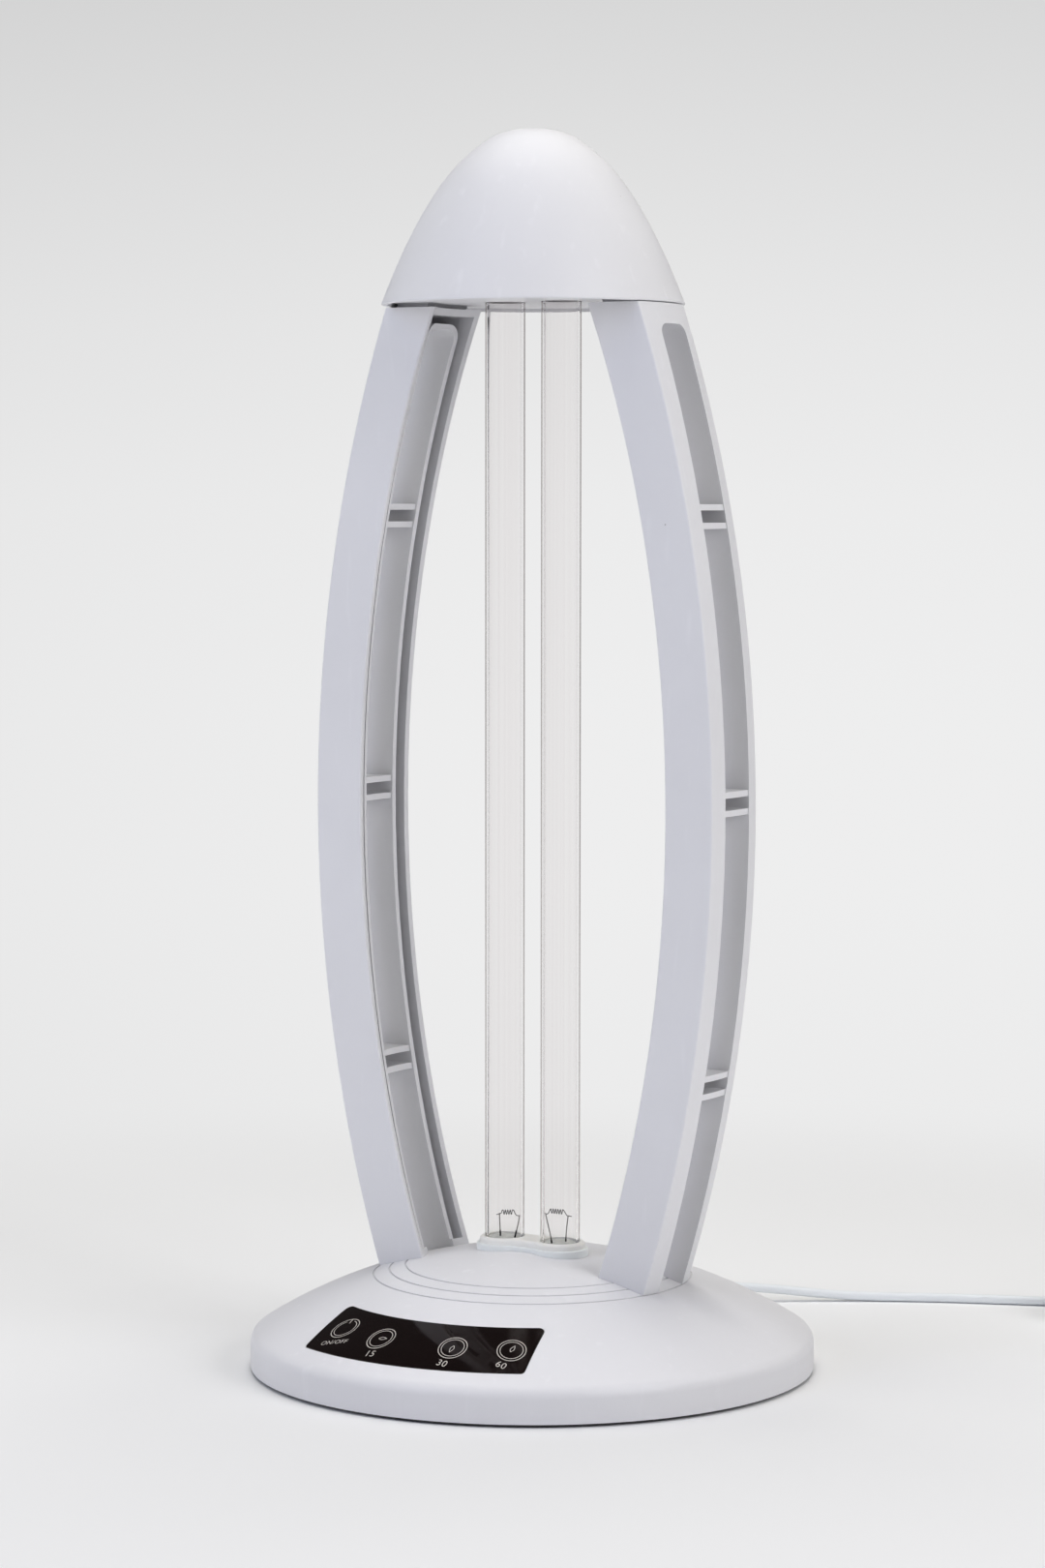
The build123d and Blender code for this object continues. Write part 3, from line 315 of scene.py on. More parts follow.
floor_reach = 6.0
rings_out = np.concatenate([np.linspace(0, 0.8, 41)[1:], np.geomspace(0.85, floor_reach, 40)])
spokes = 96
spoke_angle = np.linspace(0, 2 * pi, spokes, endpoint=False)
floor_flat = np.stack([np.outer(rings_out, np.cos(spoke_angle)), np.outer(rings_out, np.sin(spoke_angle))], 2)
floor_flat = np.vstack([floor_flat.reshape(-1, 2), (0, 0)])
floor_faces = grid_faces(len(rings_out), spokes, wrap=True)
floor_middle = len(floor_flat) - 1
floor_faces += [[floor_middle, (k + 1) % spokes, k] for k in range(spokes)]

# Tone of the room by the height of the line of sight, in degrees above the horizon, and how it
# falls off to the left. The floor has the tone of the line of sight that meets it.
tone_heights = [-13.0, -8.0, -5.5, -3.0, 0.0, 2.5, 5.0, 7.0, 10.0]
tone_values = [0.80, 0.84, 0.855, 0.855, 0.84, 0.80, 0.74, 0.685, 0.625]
left_fall = 0.3
left_limit = 0.15
shadow_reach = 0.30
tone_fade = 0.35
floor_range = np.hypot(*floor_flat.T)
sight = np.degrees(np.arctan2(-eye_height, floor_range + eye_distance))
from_eye = np.stack([floor_flat @ np.array(right)[:2], floor_flat @ np.array(away)[:2] + eye_distance])
from_eye /= np.hypot(*from_eye)
to_left = np.clip(-from_eye[0], 0, left_limit) * np.clip(2 * from_eye[1], 0, 1)
paper_tone = np.interp(sight, tone_heights, tone_values) * (1 - left_fall * to_left)
own_tone = eased((floor_range - shadow_reach) / tone_fade)

paper, paper_tree, paper_shader = shader("paper", (0.85, 0.855, 0.87), 0.95, Specular_IOR_Level=0.0)
floor_mesh = bpy.data.meshes.new("paper_floor")
floor_mesh.from_pydata(np.hstack([floor_flat, np.zeros((len(floor_flat), 1))]).tolist(), [], floor_faces)
for layer, values in (("paper_tone", paper_tone), ("own_tone", own_tone)):
    floor_mesh.attributes.new(layer, "FLOAT", "POINT").data.foreach_set("value", values)
floor_mesh.materials.append(paper)
paper_floor = bpy.data.objects.new("paper_floor", floor_mesh)
bpy.context.collection.objects.link(paper_floor)


def reckon(tree, operation, *values):
    """A Math node of an operation on numbers and sockets. Gives its result."""
    node = tree.nodes.new("ShaderNodeMath")
    node.operation = operation
    for socket, value in zip(node.inputs, values):
        if isinstance(value, (int, float)):
            socket.default_value = value
        else:
            tree.links.new(value, socket)
    return node.outputs[0]


def sees_room(tree):
    """1 on a line of sight, also through glass, and 0 on every other ray."""
    ray = tree.nodes.new("ShaderNodeLightPath")
    return reckon(tree, "MAXIMUM", ray.outputs["Is Camera Ray"], ray.outputs["Is Transmission Ray"])


tone_layer, own_layer = (paper_tree.nodes.new("ShaderNodeAttribute") for _ in range(2))
tone_layer.attribute_name, own_layer.attribute_name = "paper_tone", "own_tone"
room_colour = (0.998, 0.998, 1.0, 1)
glow = paper_tree.nodes.new("ShaderNodeEmission")
glow.inputs["Color"].default_value = room_colour
paper_tree.links.new(tone_layer.outputs["Fac"], glow.inputs["Strength"])
paper_blend = paper_tree.nodes.new("ShaderNodeMixShader")
own_share = reckon(paper_tree, "MULTIPLY", sees_room(paper_tree), own_layer.outputs["Fac"])
for socket, source in zip(paper_blend.inputs, (own_share, paper_shader.outputs[0], glow.outputs[0])):
    paper_tree.links.new(source, socket)
paper_tree.links.new(paper_blend.outputs[0], paper_tree.nodes["Material Output"].inputs["Surface"])

mirror_share = 0.12  # of the room's tone, what glossy surfaces reflect
room_light = 0.01  # of the room's tone, what falls on the lamp

world = bpy.data.worlds.new("studio")
world.use_nodes = True
room_tree = world.node_tree
heading = room_tree.nodes.new("ShaderNodeTexCoord")
heights = room_tree.nodes.new("ShaderNodeSeparateXYZ")
room_tree.links.new(heading.outputs["Generated"], heights.inputs[0])
bottom, top = (sin(radians(tone_heights[k])) for k in (0, -1))
ramp = room_tree.nodes.new("ShaderNodeValToRGB")
while len(ramp.color_ramp.elements) < len(tone_heights):
    ramp.color_ramp.elements.new(0.5)
for stop, height, value in zip(ramp.color_ramp.elements, tone_heights, tone_values):
    stop.position = (sin(radians(height)) - bottom) / (top - bottom)
    stop.color = (value, value, value, 1)
room_tree.links.new(spread(room_tree, heights.outputs["Z"], 0, 1, bottom, top), ramp.inputs[0])


def share_along(direction):
    """How far the line of sight points along a direction: the product of the two."""
    product = room_tree.nodes.new("ShaderNodeVectorMath")
    product.operation = "DOT_PRODUCT"
    product.inputs[1].default_value = direction
    room_tree.links.new(heading.outputs["Generated"], product.inputs[0])
    return product.outputs["Value"]


leftward = reckon(room_tree, "MINIMUM", reckon(room_tree, "MAXIMUM", share_along(-right), 0.0), left_limit)
faded = reckon(room_tree, "MULTIPLY", leftward, spread(room_tree, share_along(away), 0, 1, 0, 0.5))
fall = reckon(room_tree, "SUBTRACT", 1.0, reckon(room_tree, "MULTIPLY", faded, left_fall))
ray = room_tree.nodes.new("ShaderNodeLightPath")
mirrored = reckon(room_tree, "MULTIPLY", ray.outputs["Is Glossy Ray"], mirror_share)
seen_share = reckon(room_tree, "MAXIMUM", sees_room(room_tree), mirrored)
shown = reckon(room_tree, "MULTIPLY", reckon(room_tree, "MULTIPLY", ramp.outputs[0], fall), seen_share)
room = room_tree.nodes["Background"]
room.inputs["Color"].default_value = room_colour
room_tree.links.new(reckon(room_tree, "MAXIMUM", shown, room_light), room.inputs["Strength"])
bpy.context.scene.world = world
bpy.context.scene.view_settings.view_transform = "Standard"


def softbox(name, place, size, watts, colour=(1, 1, 1), glossy=True):
    """A square area lamp that faces the lamp's columns, at a place given across, away and up."""
    lamp = bpy.data.lights.new(name, "AREA")
    lamp.size = size
    lamp.energy = watts
    lamp.color = colour
    box = bpy.data.objects.new(name, lamp)
    place = place[0] * right + place[1] * away + Vector((0, 0, place[2]))
    turn = (Vector((0, 0, 0.2)) - place).to_track_quat("-Z", "Y")
    box.matrix_world = Matrix.LocRotScale(place, turn, None)
    box.visible_glossy = glossy
    box.visible_camera = False
    box.visible_transmission = False
    bpy.context.collection.objects.link(box)


softbox("softbox_top", (0, 0.3, 2.2), 1.8, 39.1, (1.0, 0.98, 0.931), glossy=False)
softbox("softbox_front_left", (-1.5, -1.3, 1.1), 1.2, 9.8, (0.68, 0.752, 1.0))
softbox("softbox_front_right", (1.5, -1.3, 1.1), 1.2, 21.8, (1.0, 0.99, 0.994))
softbox("softbox_left", (-2.0, 0.2, 0.9), 1.2, 5.2, (0.98, 1.0, 0.9))
softbox("softbox_left_low", (-1.7, -0.7, 0.3), 0.9, 4.6, (1.0, 0.95, 0.97), glossy=False)

# ---- Base shell and columns ---------------------------------------------------------------------
# The dome of the base and the two bowed columns are injection-moulded white ABS with a fine
# spark-eroded grain. The columns are pegged and screwed to the dome from inside.


def round_shading(limit):
    """Node group that joins a moulding's triangles and shades all but edges sharper than limit smooth."""
    group = bpy.data.node_groups.new("round_shading", "GeometryNodeTree")
    group.interface.new_socket("Geometry", in_out="INPUT", socket_type="NodeSocketGeometry")
    group.interface.new_socket("Geometry", in_out="OUTPUT", socket_type="NodeSocketGeometry")
    start = group.nodes.new("NodeGroupInput")
    join = group.nodes.new("GeometryNodeMergeByDistance")
    join.inputs["Distance"].default_value = 2e-6
    faces = group.nodes.new("GeometryNodeSetShadeSmooth")
    angle = group.nodes.new("GeometryNodeInputMeshEdgeAngle")
    sharp = group.nodes.new("FunctionNodeCompare")
    sharp.operation = "GREATER_THAN"
    sharp.inputs[1].default_value = limit
    edges = group.nodes.new("GeometryNodeSetShadeSmooth")
    edges.domain = "EDGE"
    edges.inputs["Shade Smooth"].default_value = False
    end = group.nodes.new("NodeGroupOutput")
    link = group.links.new
    link(start.outputs[0], join.inputs["Geometry"])
    link(join.outputs["Geometry"], faces.inputs["Geometry"])
    link(faces.outputs["Geometry"], edges.inputs["Geometry"])
    link(angle.outputs["Unsigned Angle"], sharp.inputs[0])
    link(sharp.outputs["Result"], edges.inputs["Selection"])
    link(edges.outputs["Geometry"], end.inputs[0])
    return group


smoothing = round_shading(radians(32))


def dress(name, material):
    """Gives a node of the frame its finish and smooth shading."""
    node = nodes[name]
    node.data.materials.clear()
    node.data.materials.append(material)
    node.modifiers.new("round_shading", "NODES").node_group = smoothing
    weighted = node.modifiers.new("weighted", "WEIGHTED_NORMAL")
    weighted.keep_sharp = True
    return node


speck_spacing = 0.0125
dust_grey = (0.30, 0.29, 0.28)
# How far round a point the painted shade looks for surfaces that close it in
painted_shade_reach = 0.06


def dusty_white_painted_shade(name, colour, roughness):
    """White moulded plastic: grain, faint clouds, long rub marks, specks of dust, and painted shade in its
    hollows.
    """
    material, tree, principled = shader(name, colour, roughness)
    link = tree.links.new
    clouds = mixed(tree, spread(tree, noise(tree, 0.05, 4.0), 0, 1), tuple(0.97 * c for c in colour), colour)
    rubs = spread(tree, noise(tree, 0.004, 2.0, (1, 1, 7)), 0, 1, 0.62, 0.8)
    rubbed = mixed(tree, rubs, clouds, tuple(min(1.0, 1.03 * c) for c in colour))
    place = tree.nodes.new("ShaderNodeTexCoord")
    cells = tree.nodes.new("ShaderNodeTexVoronoi")
    cells.inputs["Scale"].default_value = 1 / speck_spacing
    link(place.outputs["Object"], cells.inputs["Vector"])
    few = tree.nodes.new("ShaderNodeSeparateColor")
    link(cells.outputs["Color"], few.inputs[0])
    chosen = spread(tree, few.outputs[0], 0, 1, 0.86, 0.87)
    near = spread(tree, cells.outputs["Distance"], 1, 0, 0.018, 0.03)
    specks = spread(tree, reckon(tree, "MULTIPLY", chosen, near), 0, 0.55, 0, 1)
    # Painted shade: the colour darkens towards 0.74 of itself where other surfaces close the point in, in
    # hollows and under the cap
    painted_shade_occlusion = tree.nodes.new("ShaderNodeAmbientOcclusion")
    painted_shade_occlusion.samples = 8
    painted_shade_occlusion.inputs["Distance"].default_value = painted_shade_reach
    painted_shade_mask = spread(tree, painted_shade_occlusion.outputs["AO"], 1, 0, 0.1, 1.0)
    painted_shade_tone = mixed(tree, painted_shade_mask, rubbed, tuple(0.74 * c for c in colour))
    link(mixed(tree, specks, painted_shade_tone, dust_grey), principled.inputs["Base Color"])
    gloss = spread(tree, noise(tree, 0.02, 3.0), 0.9 * roughness, 1.1 * roughness)
    link(gloss, principled.inputs["Roughness"])
    roughen(tree, principled, noise(tree, 0.0005, 3.0), 0.000025)
    return material


white_abs = dusty_white_painted_shade("white_abs", (0.835, 0.835, 0.865), 0.46)
for name in ("column_left", "column_right"):
    dress(name, white_abs)
# The dome's copy of the plastic is a shade lighter than the columns', as painted light for the light that
# falls on it
dress("base_shell", dusty_white_painted_shade("base_abs_painted_light", (0.858, 0.856, 0.890), 0.46))

# ---- Cap ----------------------------------------------------------------------------------------
# A thin dome of the same white ABS, closed by a plate that is screwed to the columns' tops. Its copy of the
# plastic's colour is a shade lighter than the columns', as painted light. A silicone pad inside it holds the
# tubes' ends.

cap_abs_painted_light = dusty_white_painted_shade("cap_abs_painted_light", (0.85, 0.85, 0.88), 0.42)
for name in ("cap_dome", "cap_plate"):
    dress(name, cap_abs_painted_light)
dress("tube_pad", finish("pad_silicone", (0.72, 0.72, 0.70), 0.55))
screw_steel = finish("screw_steel", (0.60, 0.60, 0.62), 0.32, grain=0.0008, patch=0.004, Metallic=1.0)
for name in ("plate_screws", "column_screws", "cover_screws", "board_screws"):
    dress(name, screw_steel)

# ---- Base cover and feet ------------------------------------------------------------------------
# The underside is a flat plate of dark ABS held by three screws, with four rubber pads let in. Its near-black
# tone is partly painted shade, standing for the shaded gap under the rim.

dress("base_cover", finish("cover_abs", (0.035, 0.035, 0.040), 0.5, grain=0.0007, depth=0.00003, patch=0.04))
dress("rubber_feet", finish("foot_rubber", (0.020, 0.020, 0.020), 0.75, grain=0.0009, depth=0.00005))

# ---- Touch panel --------------------------------------------------------------------------------
# A curved lens of black glossy acrylic sunk flush into the dome, over a copper sensor film with a
# flat cable. Its marks are printed on in silver grey: four touch rings, a power sign and numbers.

lens_colour = (0.007, 0.004, 0.004)
lens_black, lens_tree, lens_shader = shader("panel_gloss", lens_colour, 0.05, Specular_IOR_Level=0.25)
smear = noise(lens_tree, 0.012, 4.0)
lens_tree.links.new(spread(lens_tree, smear, 0.035, 0.10), lens_shader.inputs["Roughness"])
lens_shader.inputs["Specular Tint"].default_value = (1.0, 0.86, 0.76, 1)
lint = noise(lens_tree, 0.0011, 1.0, (1, 1.6, 1))
dust = spread(lens_tree, lint, 0, 1, 0.80, 0.84)
dusted = mixed(lens_tree, dust, lens_colour, (0.10, 0.10, 0.10))
lens_tree.links.new(dusted, lens_shader.inputs["Base Color"])
dress("touch_panel", lens_black)
dress("touch_film", finish("sensor_film", (0.52, 0.30, 0.08), 0.35, grain=0.001))
dress("panel_cable", finish("flat_cable", (0.62, 0.62, 0.58), 0.45, grain=0.001, stretch=(0.5, 8, 8)))

base_height = 0.0419
rim_height = 0.0123
base_radius = 0.1
dome_rise = base_height - rim_height
dome_radius = (base_radius**2 + dome_rise**2) / (2 * dome_rise)
lens_radius = dome_radius + 0.00015
ink_lift = 0.00003
ring_places = [(-0.0303, -0.0751), (-0.0118, -0.0812), (0.0165, -0.0808), (0.0357, -0.0743)]
outer_ring = (0.0049, 0.00028)
inner_ring = (0.0039, 0.00024)
label_shift = np.array((0.0003, -0.0075))


def on_lens(flat, spot):
    """Drops flat points, set down at a spot, on the lens: z = top - R + sqrt(R^2 - x^2 - y^2)."""
    xy = flat + spot
    height = base_height - dome_radius + np.sqrt(lens_radius**2 - (xy**2).sum(1)) + ink_lift
    return np.hstack([xy, height[:, None]])


def stroke(line, width):
    """Flat band of a width along a line of points, with square ends."""
    ahead = np.gradient(line, axis=0)
    ahead /= np.linalg.norm(ahead, axis=1)[:, None]
    beside = np.stack([-ahead[:, 1], ahead[:, 0]], 1) * width / 2
    return np.stack([line - beside, line + beside], 1).reshape(-1, 2), grid_faces(len(line), 2)


def arc_line(radius, start=0.0, end=2 * pi, steps=72):
    """Points of a circle's arc from start to end, anticlockwise."""
    t = np.linspace(start, end, steps)
    return radius * np.stack([np.cos(t), np.sin(t)], 1)


def leaf(length, wide, heading, steps=24):
    """Outline of a clock hand: x = l (t - 0.28), y = w sin(pi t) (1 - t/2), turned to its heading."""
    t = np.linspace(0, 1, steps)
    half = wide * np.sin(pi * t) * (1 - 0.5 * t)
    reach = length * (t - 0.28)
    shape = np.concatenate([np.stack([reach, half], 1), np.stack([reach, -half], 1)[::-1]])
    turn = np.array([[cos(heading), sin(heading)], [-sin(heading), cos(heading)]])
    return shape @ turn


def lettering(words, height):
    """Flat points and faces of words, with their middle at the origin."""
    text = bpy.data.curves.new(words, "FONT")
    text.body = words
    text.size = height / 0.72
    text.align_x = "CENTER"
    text.align_y = "CENTER"
    text.space_character = 1.08
    text.offset = -0.004 * text.size
    text.resolution_u = 4
    sample = bpy.data.objects.new(words, text)
    bpy.context.collection.objects.link(sample)
    mesh = bpy.data.meshes.new_from_object(sample.evaluated_get(bpy.context.evaluated_depsgraph_get()))
    flat = np.empty(len(mesh.vertices) * 3)
    mesh.vertices.foreach_get("co", flat)
    faces = [tuple(face.vertices) for face in mesh.polygons]
    bpy.data.objects.remove(sample)
    bpy.data.curves.remove(text)
    bpy.data.meshes.remove(mesh)
    return flat.reshape(-1, 3)[:, :2], faces


ink_points, ink_faces = [], []


def print_on_lens(shape, spot):
    """Adds a flat shape to the panel's print, with its origin at a spot."""
    flat, faces = shape
    first = sum(len(block) for block in ink_points)
    ink_points.append(on_lens(np.asarray(flat), np.asarray(spot)))
    ink_faces.extend(tuple(first + k for k in face) for face in faces)


# The first button's inner ring is the power sign itself: a gap at its top with a stroke in it. The
# others hold a clock hand that points to a quarter, a half and a whole turn.
power_gap = radians(22)
power_arc = arc_line(inner_ring[0], pi / 2 + power_gap, 5 * pi / 2 - power_gap)
power_stroke = np.array([(0, 0.0026), (0, 0.0034), (0, 0.0048)])
inner_marks = [stroke(power_arc, inner_ring[1])] + [stroke(arc_line(inner_ring[0]), inner_ring[1])] * 3
signs = [stroke(power_stroke, 0.0003)] + [
    stroke(leaf(0.0032, 0.0008, heading), 0.00022) for heading in (0.0, -pi / 2, pi / 2)
]
labels = [("ON/OFF", 0.0020), ("15", 0.0027), ("30", 0.0027), ("60", 0.0027)]
for spot, inner_mark, sign, label in zip(ring_places, inner_marks, signs, labels):
    print_on_lens(stroke(arc_line(outer_ring[0]), outer_ring[1]), spot)
    print_on_lens(inner_mark, spot)
    print_on_lens(sign, spot)
    print_on_lens(lettering(*label), spot + label_shift)
ink = finish("panel_ink", (0.60, 0.57, 0.53), 0.4, grain=0.0002, depth=0.000004, patch=0.002, shade=0.08)
put("panel_marks", np.vstack(ink_points), ink_faces, "panel_gloss", ink, smooth=False)

# ---- Quartz tubes -------------------------------------------------------------------------------
# Two straight tubes of clear quartz glass, joined by a short bridge inside the cap. Each foot is
# pressed solid round the leads, and the glass is stained grey and brown just above it.


def turned(profile, sides, centre=(0.0, 0.0), inside=False):
    """Surface of revolution, closed on its axis: a profile's point (r, z) goes to (r cos t, r sin t, z)."""
    t = np.linspace(0, 2 * pi, sides, endpoint=False)
    rings = profile[profile[:, 0] > 1e-7]
    verts = np.stack(
        [
            centre[0] + rings[:, :1] * np.cos(t),
            centre[1] + rings[:, :1] * np.sin(t),
            np.repeat(rings[:, 1:], sides, 1),
        ],
        2,
    ).reshape(-1, 3)
    faces = grid_faces(len(rings), sides, wrap=True)
    j = np.arange(sides)
    beside = (j + 1) % sides
    if profile[0, 0] <= 1e-7:
        verts = np.vstack([verts, (*centre, profile[0, 1])])
        faces += np.stack([np.full(sides, len(verts) - 1), beside, j], 1).tolist()
    if profile[-1, 0] <= 1e-7:
        verts = np.vstack([verts, (*centre, profile[-1, 1])])
        last = (len(rings) - 1) * sides
        faces += np.stack([last + j, last + beside, np.full(sides, len(verts) - 1)], 1).tolist()
    if inside:
        faces = [face[::-1] for face in faces]
    return verts, faces


def joined(*blocks):
    """Several blocks of points and faces as one."""
    firsts = np.cumsum([0] + [len(verts) for verts, _ in blocks])
    faces = [[first + k for k in face] for first, (_, faces) in zip(firsts, blocks) for face in faces]
    return np.vstack([verts for verts, _ in blocks]), faces


tube_spacing = 0.0228
tube_radius = 0.0070
tube_wall = 0.0012
tube_low = base_height - 0.0033
tube_press = 0.0040
tube_high = 0.3976
bridge_height = 0.3851
bridge_radius = 0.0030
bridge_sunk = 0.0008
bridge_end = tube_spacing / 2 - tube_radius + bridge_sunk
tube_sides = 128


def tube_profile(radius, low, high, round_low, round_high):
    """Outline of a closed tube: a flat or domed foot, a straight wall and a domed top."""
    t = np.linspace(0, pi / 2, 12)
    foot = np.stack([radius - round_low + round_low * np.sin(t), low + round_low * (1 - np.cos(t))], 1)
    rise = np.linspace(low + round_low, high - round_high, 22)[1:-1]
    wall = np.stack([np.full_like(rise, radius), rise], 1)
    top = np.stack([radius - round_high * (1 - np.cos(t)), high - round_high + round_high * np.sin(t)], 1)
    return np.vstack([(0, low), foot, wall, top, (0, high)])


tube_axes = (-tube_spacing / 2, tube_spacing / 2)
tubes = []
for x in tube_axes:
    wall = tube_profile(tube_radius, tube_low, tube_high, 0.0006, 0.0056)
    tubes.append(turned(wall, tube_sides, (x, 0.0)))
    bore = tube_profile(
        tube_radius - tube_wall, tube_low + tube_press, tube_high - tube_wall, 0.0022, 0.0046
    )
    tubes.append(turned(bore, tube_sides, (x, 0.0), inside=True))
bridge_outline = [(0.0, -1.0), (1.0, -1.0), (1.0, 1.0), (0.0, 1.0)]
bridge_profile = np.array(bridge_outline) * (bridge_radius, bridge_end)
bridge_points, bridge_faces = turned(bridge_profile, 32)
tubes.append((bridge_points[:, [2, 0, 1]] + (0, 0, bridge_height), bridge_faces))

wall_bend = 1.12  # an index below quartz's own 1.46, so that the thin walls stay clear of dotted glints


def height_on(tree):
    """Height of a point of the piece above the table."""
    place = tree.nodes.new("ShaderNodeTexCoord")
    parts = tree.nodes.new("ShaderNodeSeparateXYZ")
    tree.links.new(place.outputs["Object"], parts.inputs[0])
    return parts.outputs["Z"]


def clear_quartz(name, painted_edge_colour):
    """Clear glass with faint draw marks along it, a stained foot, and a painted reflection where it is seen
    edge on.
    """
    material, tree, principled = shader(name, (1.0, 1.0, 1.0), 0.0, Transmission_Weight=1.0, IOR=wall_bend)
    low_band = spread(tree, height_on(tree), 1, 0, base_height + 0.0040, base_height + 0.0075)
    stain = reckon(tree, "MULTIPLY", low_band, spread(tree, noise(tree, 0.003, 4.0), 0.3, 1.0))
    draw_marks = spread(tree, noise(tree, 0.0011, 1.0, (1, 1, 900)), 0, 1)
    clear = mixed(tree, draw_marks, (0.950, 0.938, 0.938), (0.975, 0.970, 0.968))
    # Painted reflection: towards the edges seen side on, the glass takes the given edge colour in place of
    # its clear tone
    grazing = tree.nodes.new("ShaderNodeLayerWeight")
    grazing.inputs["Blend"].default_value = 0.5
    edge = spread(tree, grazing.outputs["Facing"], 0, 1, 0.57, 0.73)
    with_painted_edge = mixed(tree, edge, clear, painted_edge_colour)
    tree.links.new(mixed(tree, stain, with_painted_edge, (0.88, 0.88, 0.865)), principled.inputs["Base Color"])
    return material


# The dark edge colour is a painted reflection on the tubes' outer walls, the pale one on the walls of the
# bore
quartz = clear_quartz("quartz_glass", (0.22, 0.19, 0.18))
tubes_piece = put("quartz_tubes", *joined(*tubes), "quartz_glass", quartz, ("quartz_tube",))
tubes_piece.visible_shadow = False
tubes_piece.data.materials.append(clear_quartz("quartz_bore", (0.80, 0.79, 0.785)))
of_bore = np.repeat([0, 1, 0, 1, 0], [len(faces) for _, faces in tubes])
tubes_piece.data.polygons.foreach_set("material_index", of_bore)

# The leads come out of a pale frosted glass seal that fills the foot of each tube
seal_radius = tube_radius - tube_wall - 0.0001
seal_low = tube_low + tube_press + 0.0010
seal_high = base_height + 0.0040
seal_dip = 0.0008
t = np.linspace(0, 1, 24)
seal_side = np.stack([np.full_like(t, seal_radius), seal_low + (seal_high - seal_dip - seal_low) * t], 1)
seal_top = np.stack([seal_radius * (1 - t), seal_high - seal_dip * (1 - t) ** 3], 1)[1:]
seal_outline = np.vstack([(0, seal_low), seal_side, seal_top])
seals = [turned(seal_outline, 48, (x, 0.0)) for x in tube_axes]
frosted, tree, principled = shader("frosted_glass", (0.50, 0.50, 0.47), 0.5)
smoke = mixed(tree, spread(tree, noise(tree, 0.0035, 4.0), 0, 1), (0.36, 0.365, 0.345), (0.62, 0.62, 0.595))
tree.links.new(smoke, principled.inputs["Base Color"])
roughen(tree, principled, noise(tree, 0.0008, 3.0), 0.00005)
put("tube_seals", *joined(*seals), "quartz_glass", frosted)

# ---- Filaments ----------------------------------------------------------------------------------
# In each tube two nickel leads with black tips at their feet carry a small tungsten coil. The
# leads are bent by hand, so no two stand alike.


def wire(path, radii, reference, sides=10):
    """Round wire: a circle of the wire's radius, square to the path at each of its points."""
    path = np.asarray(path, float)
    radii = np.broadcast_to(np.asarray(radii, float), len(path))
    ahead = np.gradient(path, axis=0)
    ahead /= np.linalg.norm(ahead, axis=1)[:, None]
    beside = np.cross(ahead, reference)
    beside /= np.linalg.norm(beside, axis=1)[:, None]
    above = np.cross(beside, ahead)
    t = np.linspace(0, 2 * pi, sides, endpoint=False)[None, :, None]
    ring = path[:, None] + radii[:, None, None] * (np.cos(t) * beside[:, None] - np.sin(t) * above[:, None])
    faces = grid_faces(len(path), sides, wrap=True)
    last = (len(path) - 1) * sides
    faces += [list(range(sides))[::-1], [last + k for k in range(sides)]]
    return ring.reshape(-1, 3), faces


def smooth_line(knots, steps):
    """Smooth line through knots (Catmull-Rom): a knot's tangent is half the way between its neighbours."""
    knots = np.asarray(knots, float)
    tangents = np.gradient(knots, axis=0)
    s = np.linspace(0, len(knots) - 1, steps)
    k = np.minimum(s.astype(int), len(knots) - 2)
    u = (s - k)[:, None]
    return (
        (2 * u**3 - 3 * u**2 + 1) * knots[k]
        + (u**3 - 2 * u**2 + u) * tangents[k]
        + (3 * u**2 - 2 * u**3) * knots[k + 1]
        + (u**3 - u**2) * tangents[k + 1]
    )


stem_turn = radians(30)
stem_across = np.array((cos(stem_turn), sin(stem_turn), 0.0))
stem_front = np.array((sin(stem_turn), -cos(stem_turn), 0.0))


def on_stem(x, spots):
    """Points given in millimetres across a tube's stem, up from the dome's crown and to its front."""
    spots = np.array([(*spot, 0.0)[:3] for spot in spots]) / 1000
    axis = np.array((x, 0.0, base_height))
    return axis + spots[:, :1] * stem_across + spots[:, 1:2] * (0, 0, 1) + spots[:, 2:] * stem_front


lead_radius = 0.00021
lead_tip_radius = 0.00030
coil_wire_radius = 0.00014
coil_radius = 0.00081
# For each tube: its two leads, the height up to which they are thick, the arms of the coil's wire,
# and the coil's ends and turns
stems = [
    {
        "tube": tube_axes[0],
        "leads": (
            [(-1.4, 2.0, 3.0), (-1.5, 4.4, 2.4), (-1.7, 8.0, 1.2), (-1.9, 11.6, 0.0)],
            [(3.3, 2.0, 4.0), (3.8, 4.4, 3.0), (4.7, 7.8, 1.5), (5.3, 10.8, 0.0)],
        ),
        "thick": 0.0057,
        "arms": (
            [(-3.0, 11.0), (-1.9, 11.3), (-1.3, 11.5), (-1.0, 12.4), (-0.6, 12.7)],
            [(2.8, 12.7), (3.2, 12.5), (3.6, 11.6), (4.2, 10.8), (4.8, 10.6), (5.5, 10.7)],
        ),
        "coil": ((-0.6, 11.9), (2.8, 11.9), 4),
    },
    {
        "tube": tube_axes[1],
        "leads": (
            [(-2.7, 2.0, 4.2), (-3.1, 5.0, 3.0), (-4.1, 9.2, 1.4), (-5.15, 13.4, 0.0)],
            [(1.9, 2.0, 2.6), (2.1, 5.6, 1.8), (2.4, 9.2, 0.9), (2.9, 12.8, 0.0)],
        ),
        "thick": 0.0046,
        "arms": (
            [(-5.55, 13.8), (-5.1, 13.3), (-4.2, 13.5), (-3.7, 14.5), (-3.3, 15.2)],
            [(1.0, 14.8), (1.4, 14.4), (2.0, 13.4), (2.5, 12.7), (3.1, 12.6), (4.1, 12.4)],
        ),
        "coil": ((-3.3, 14.4), (1.0, 14.0), 5),
    },
]
lead_blocks, coil_blocks = [], []
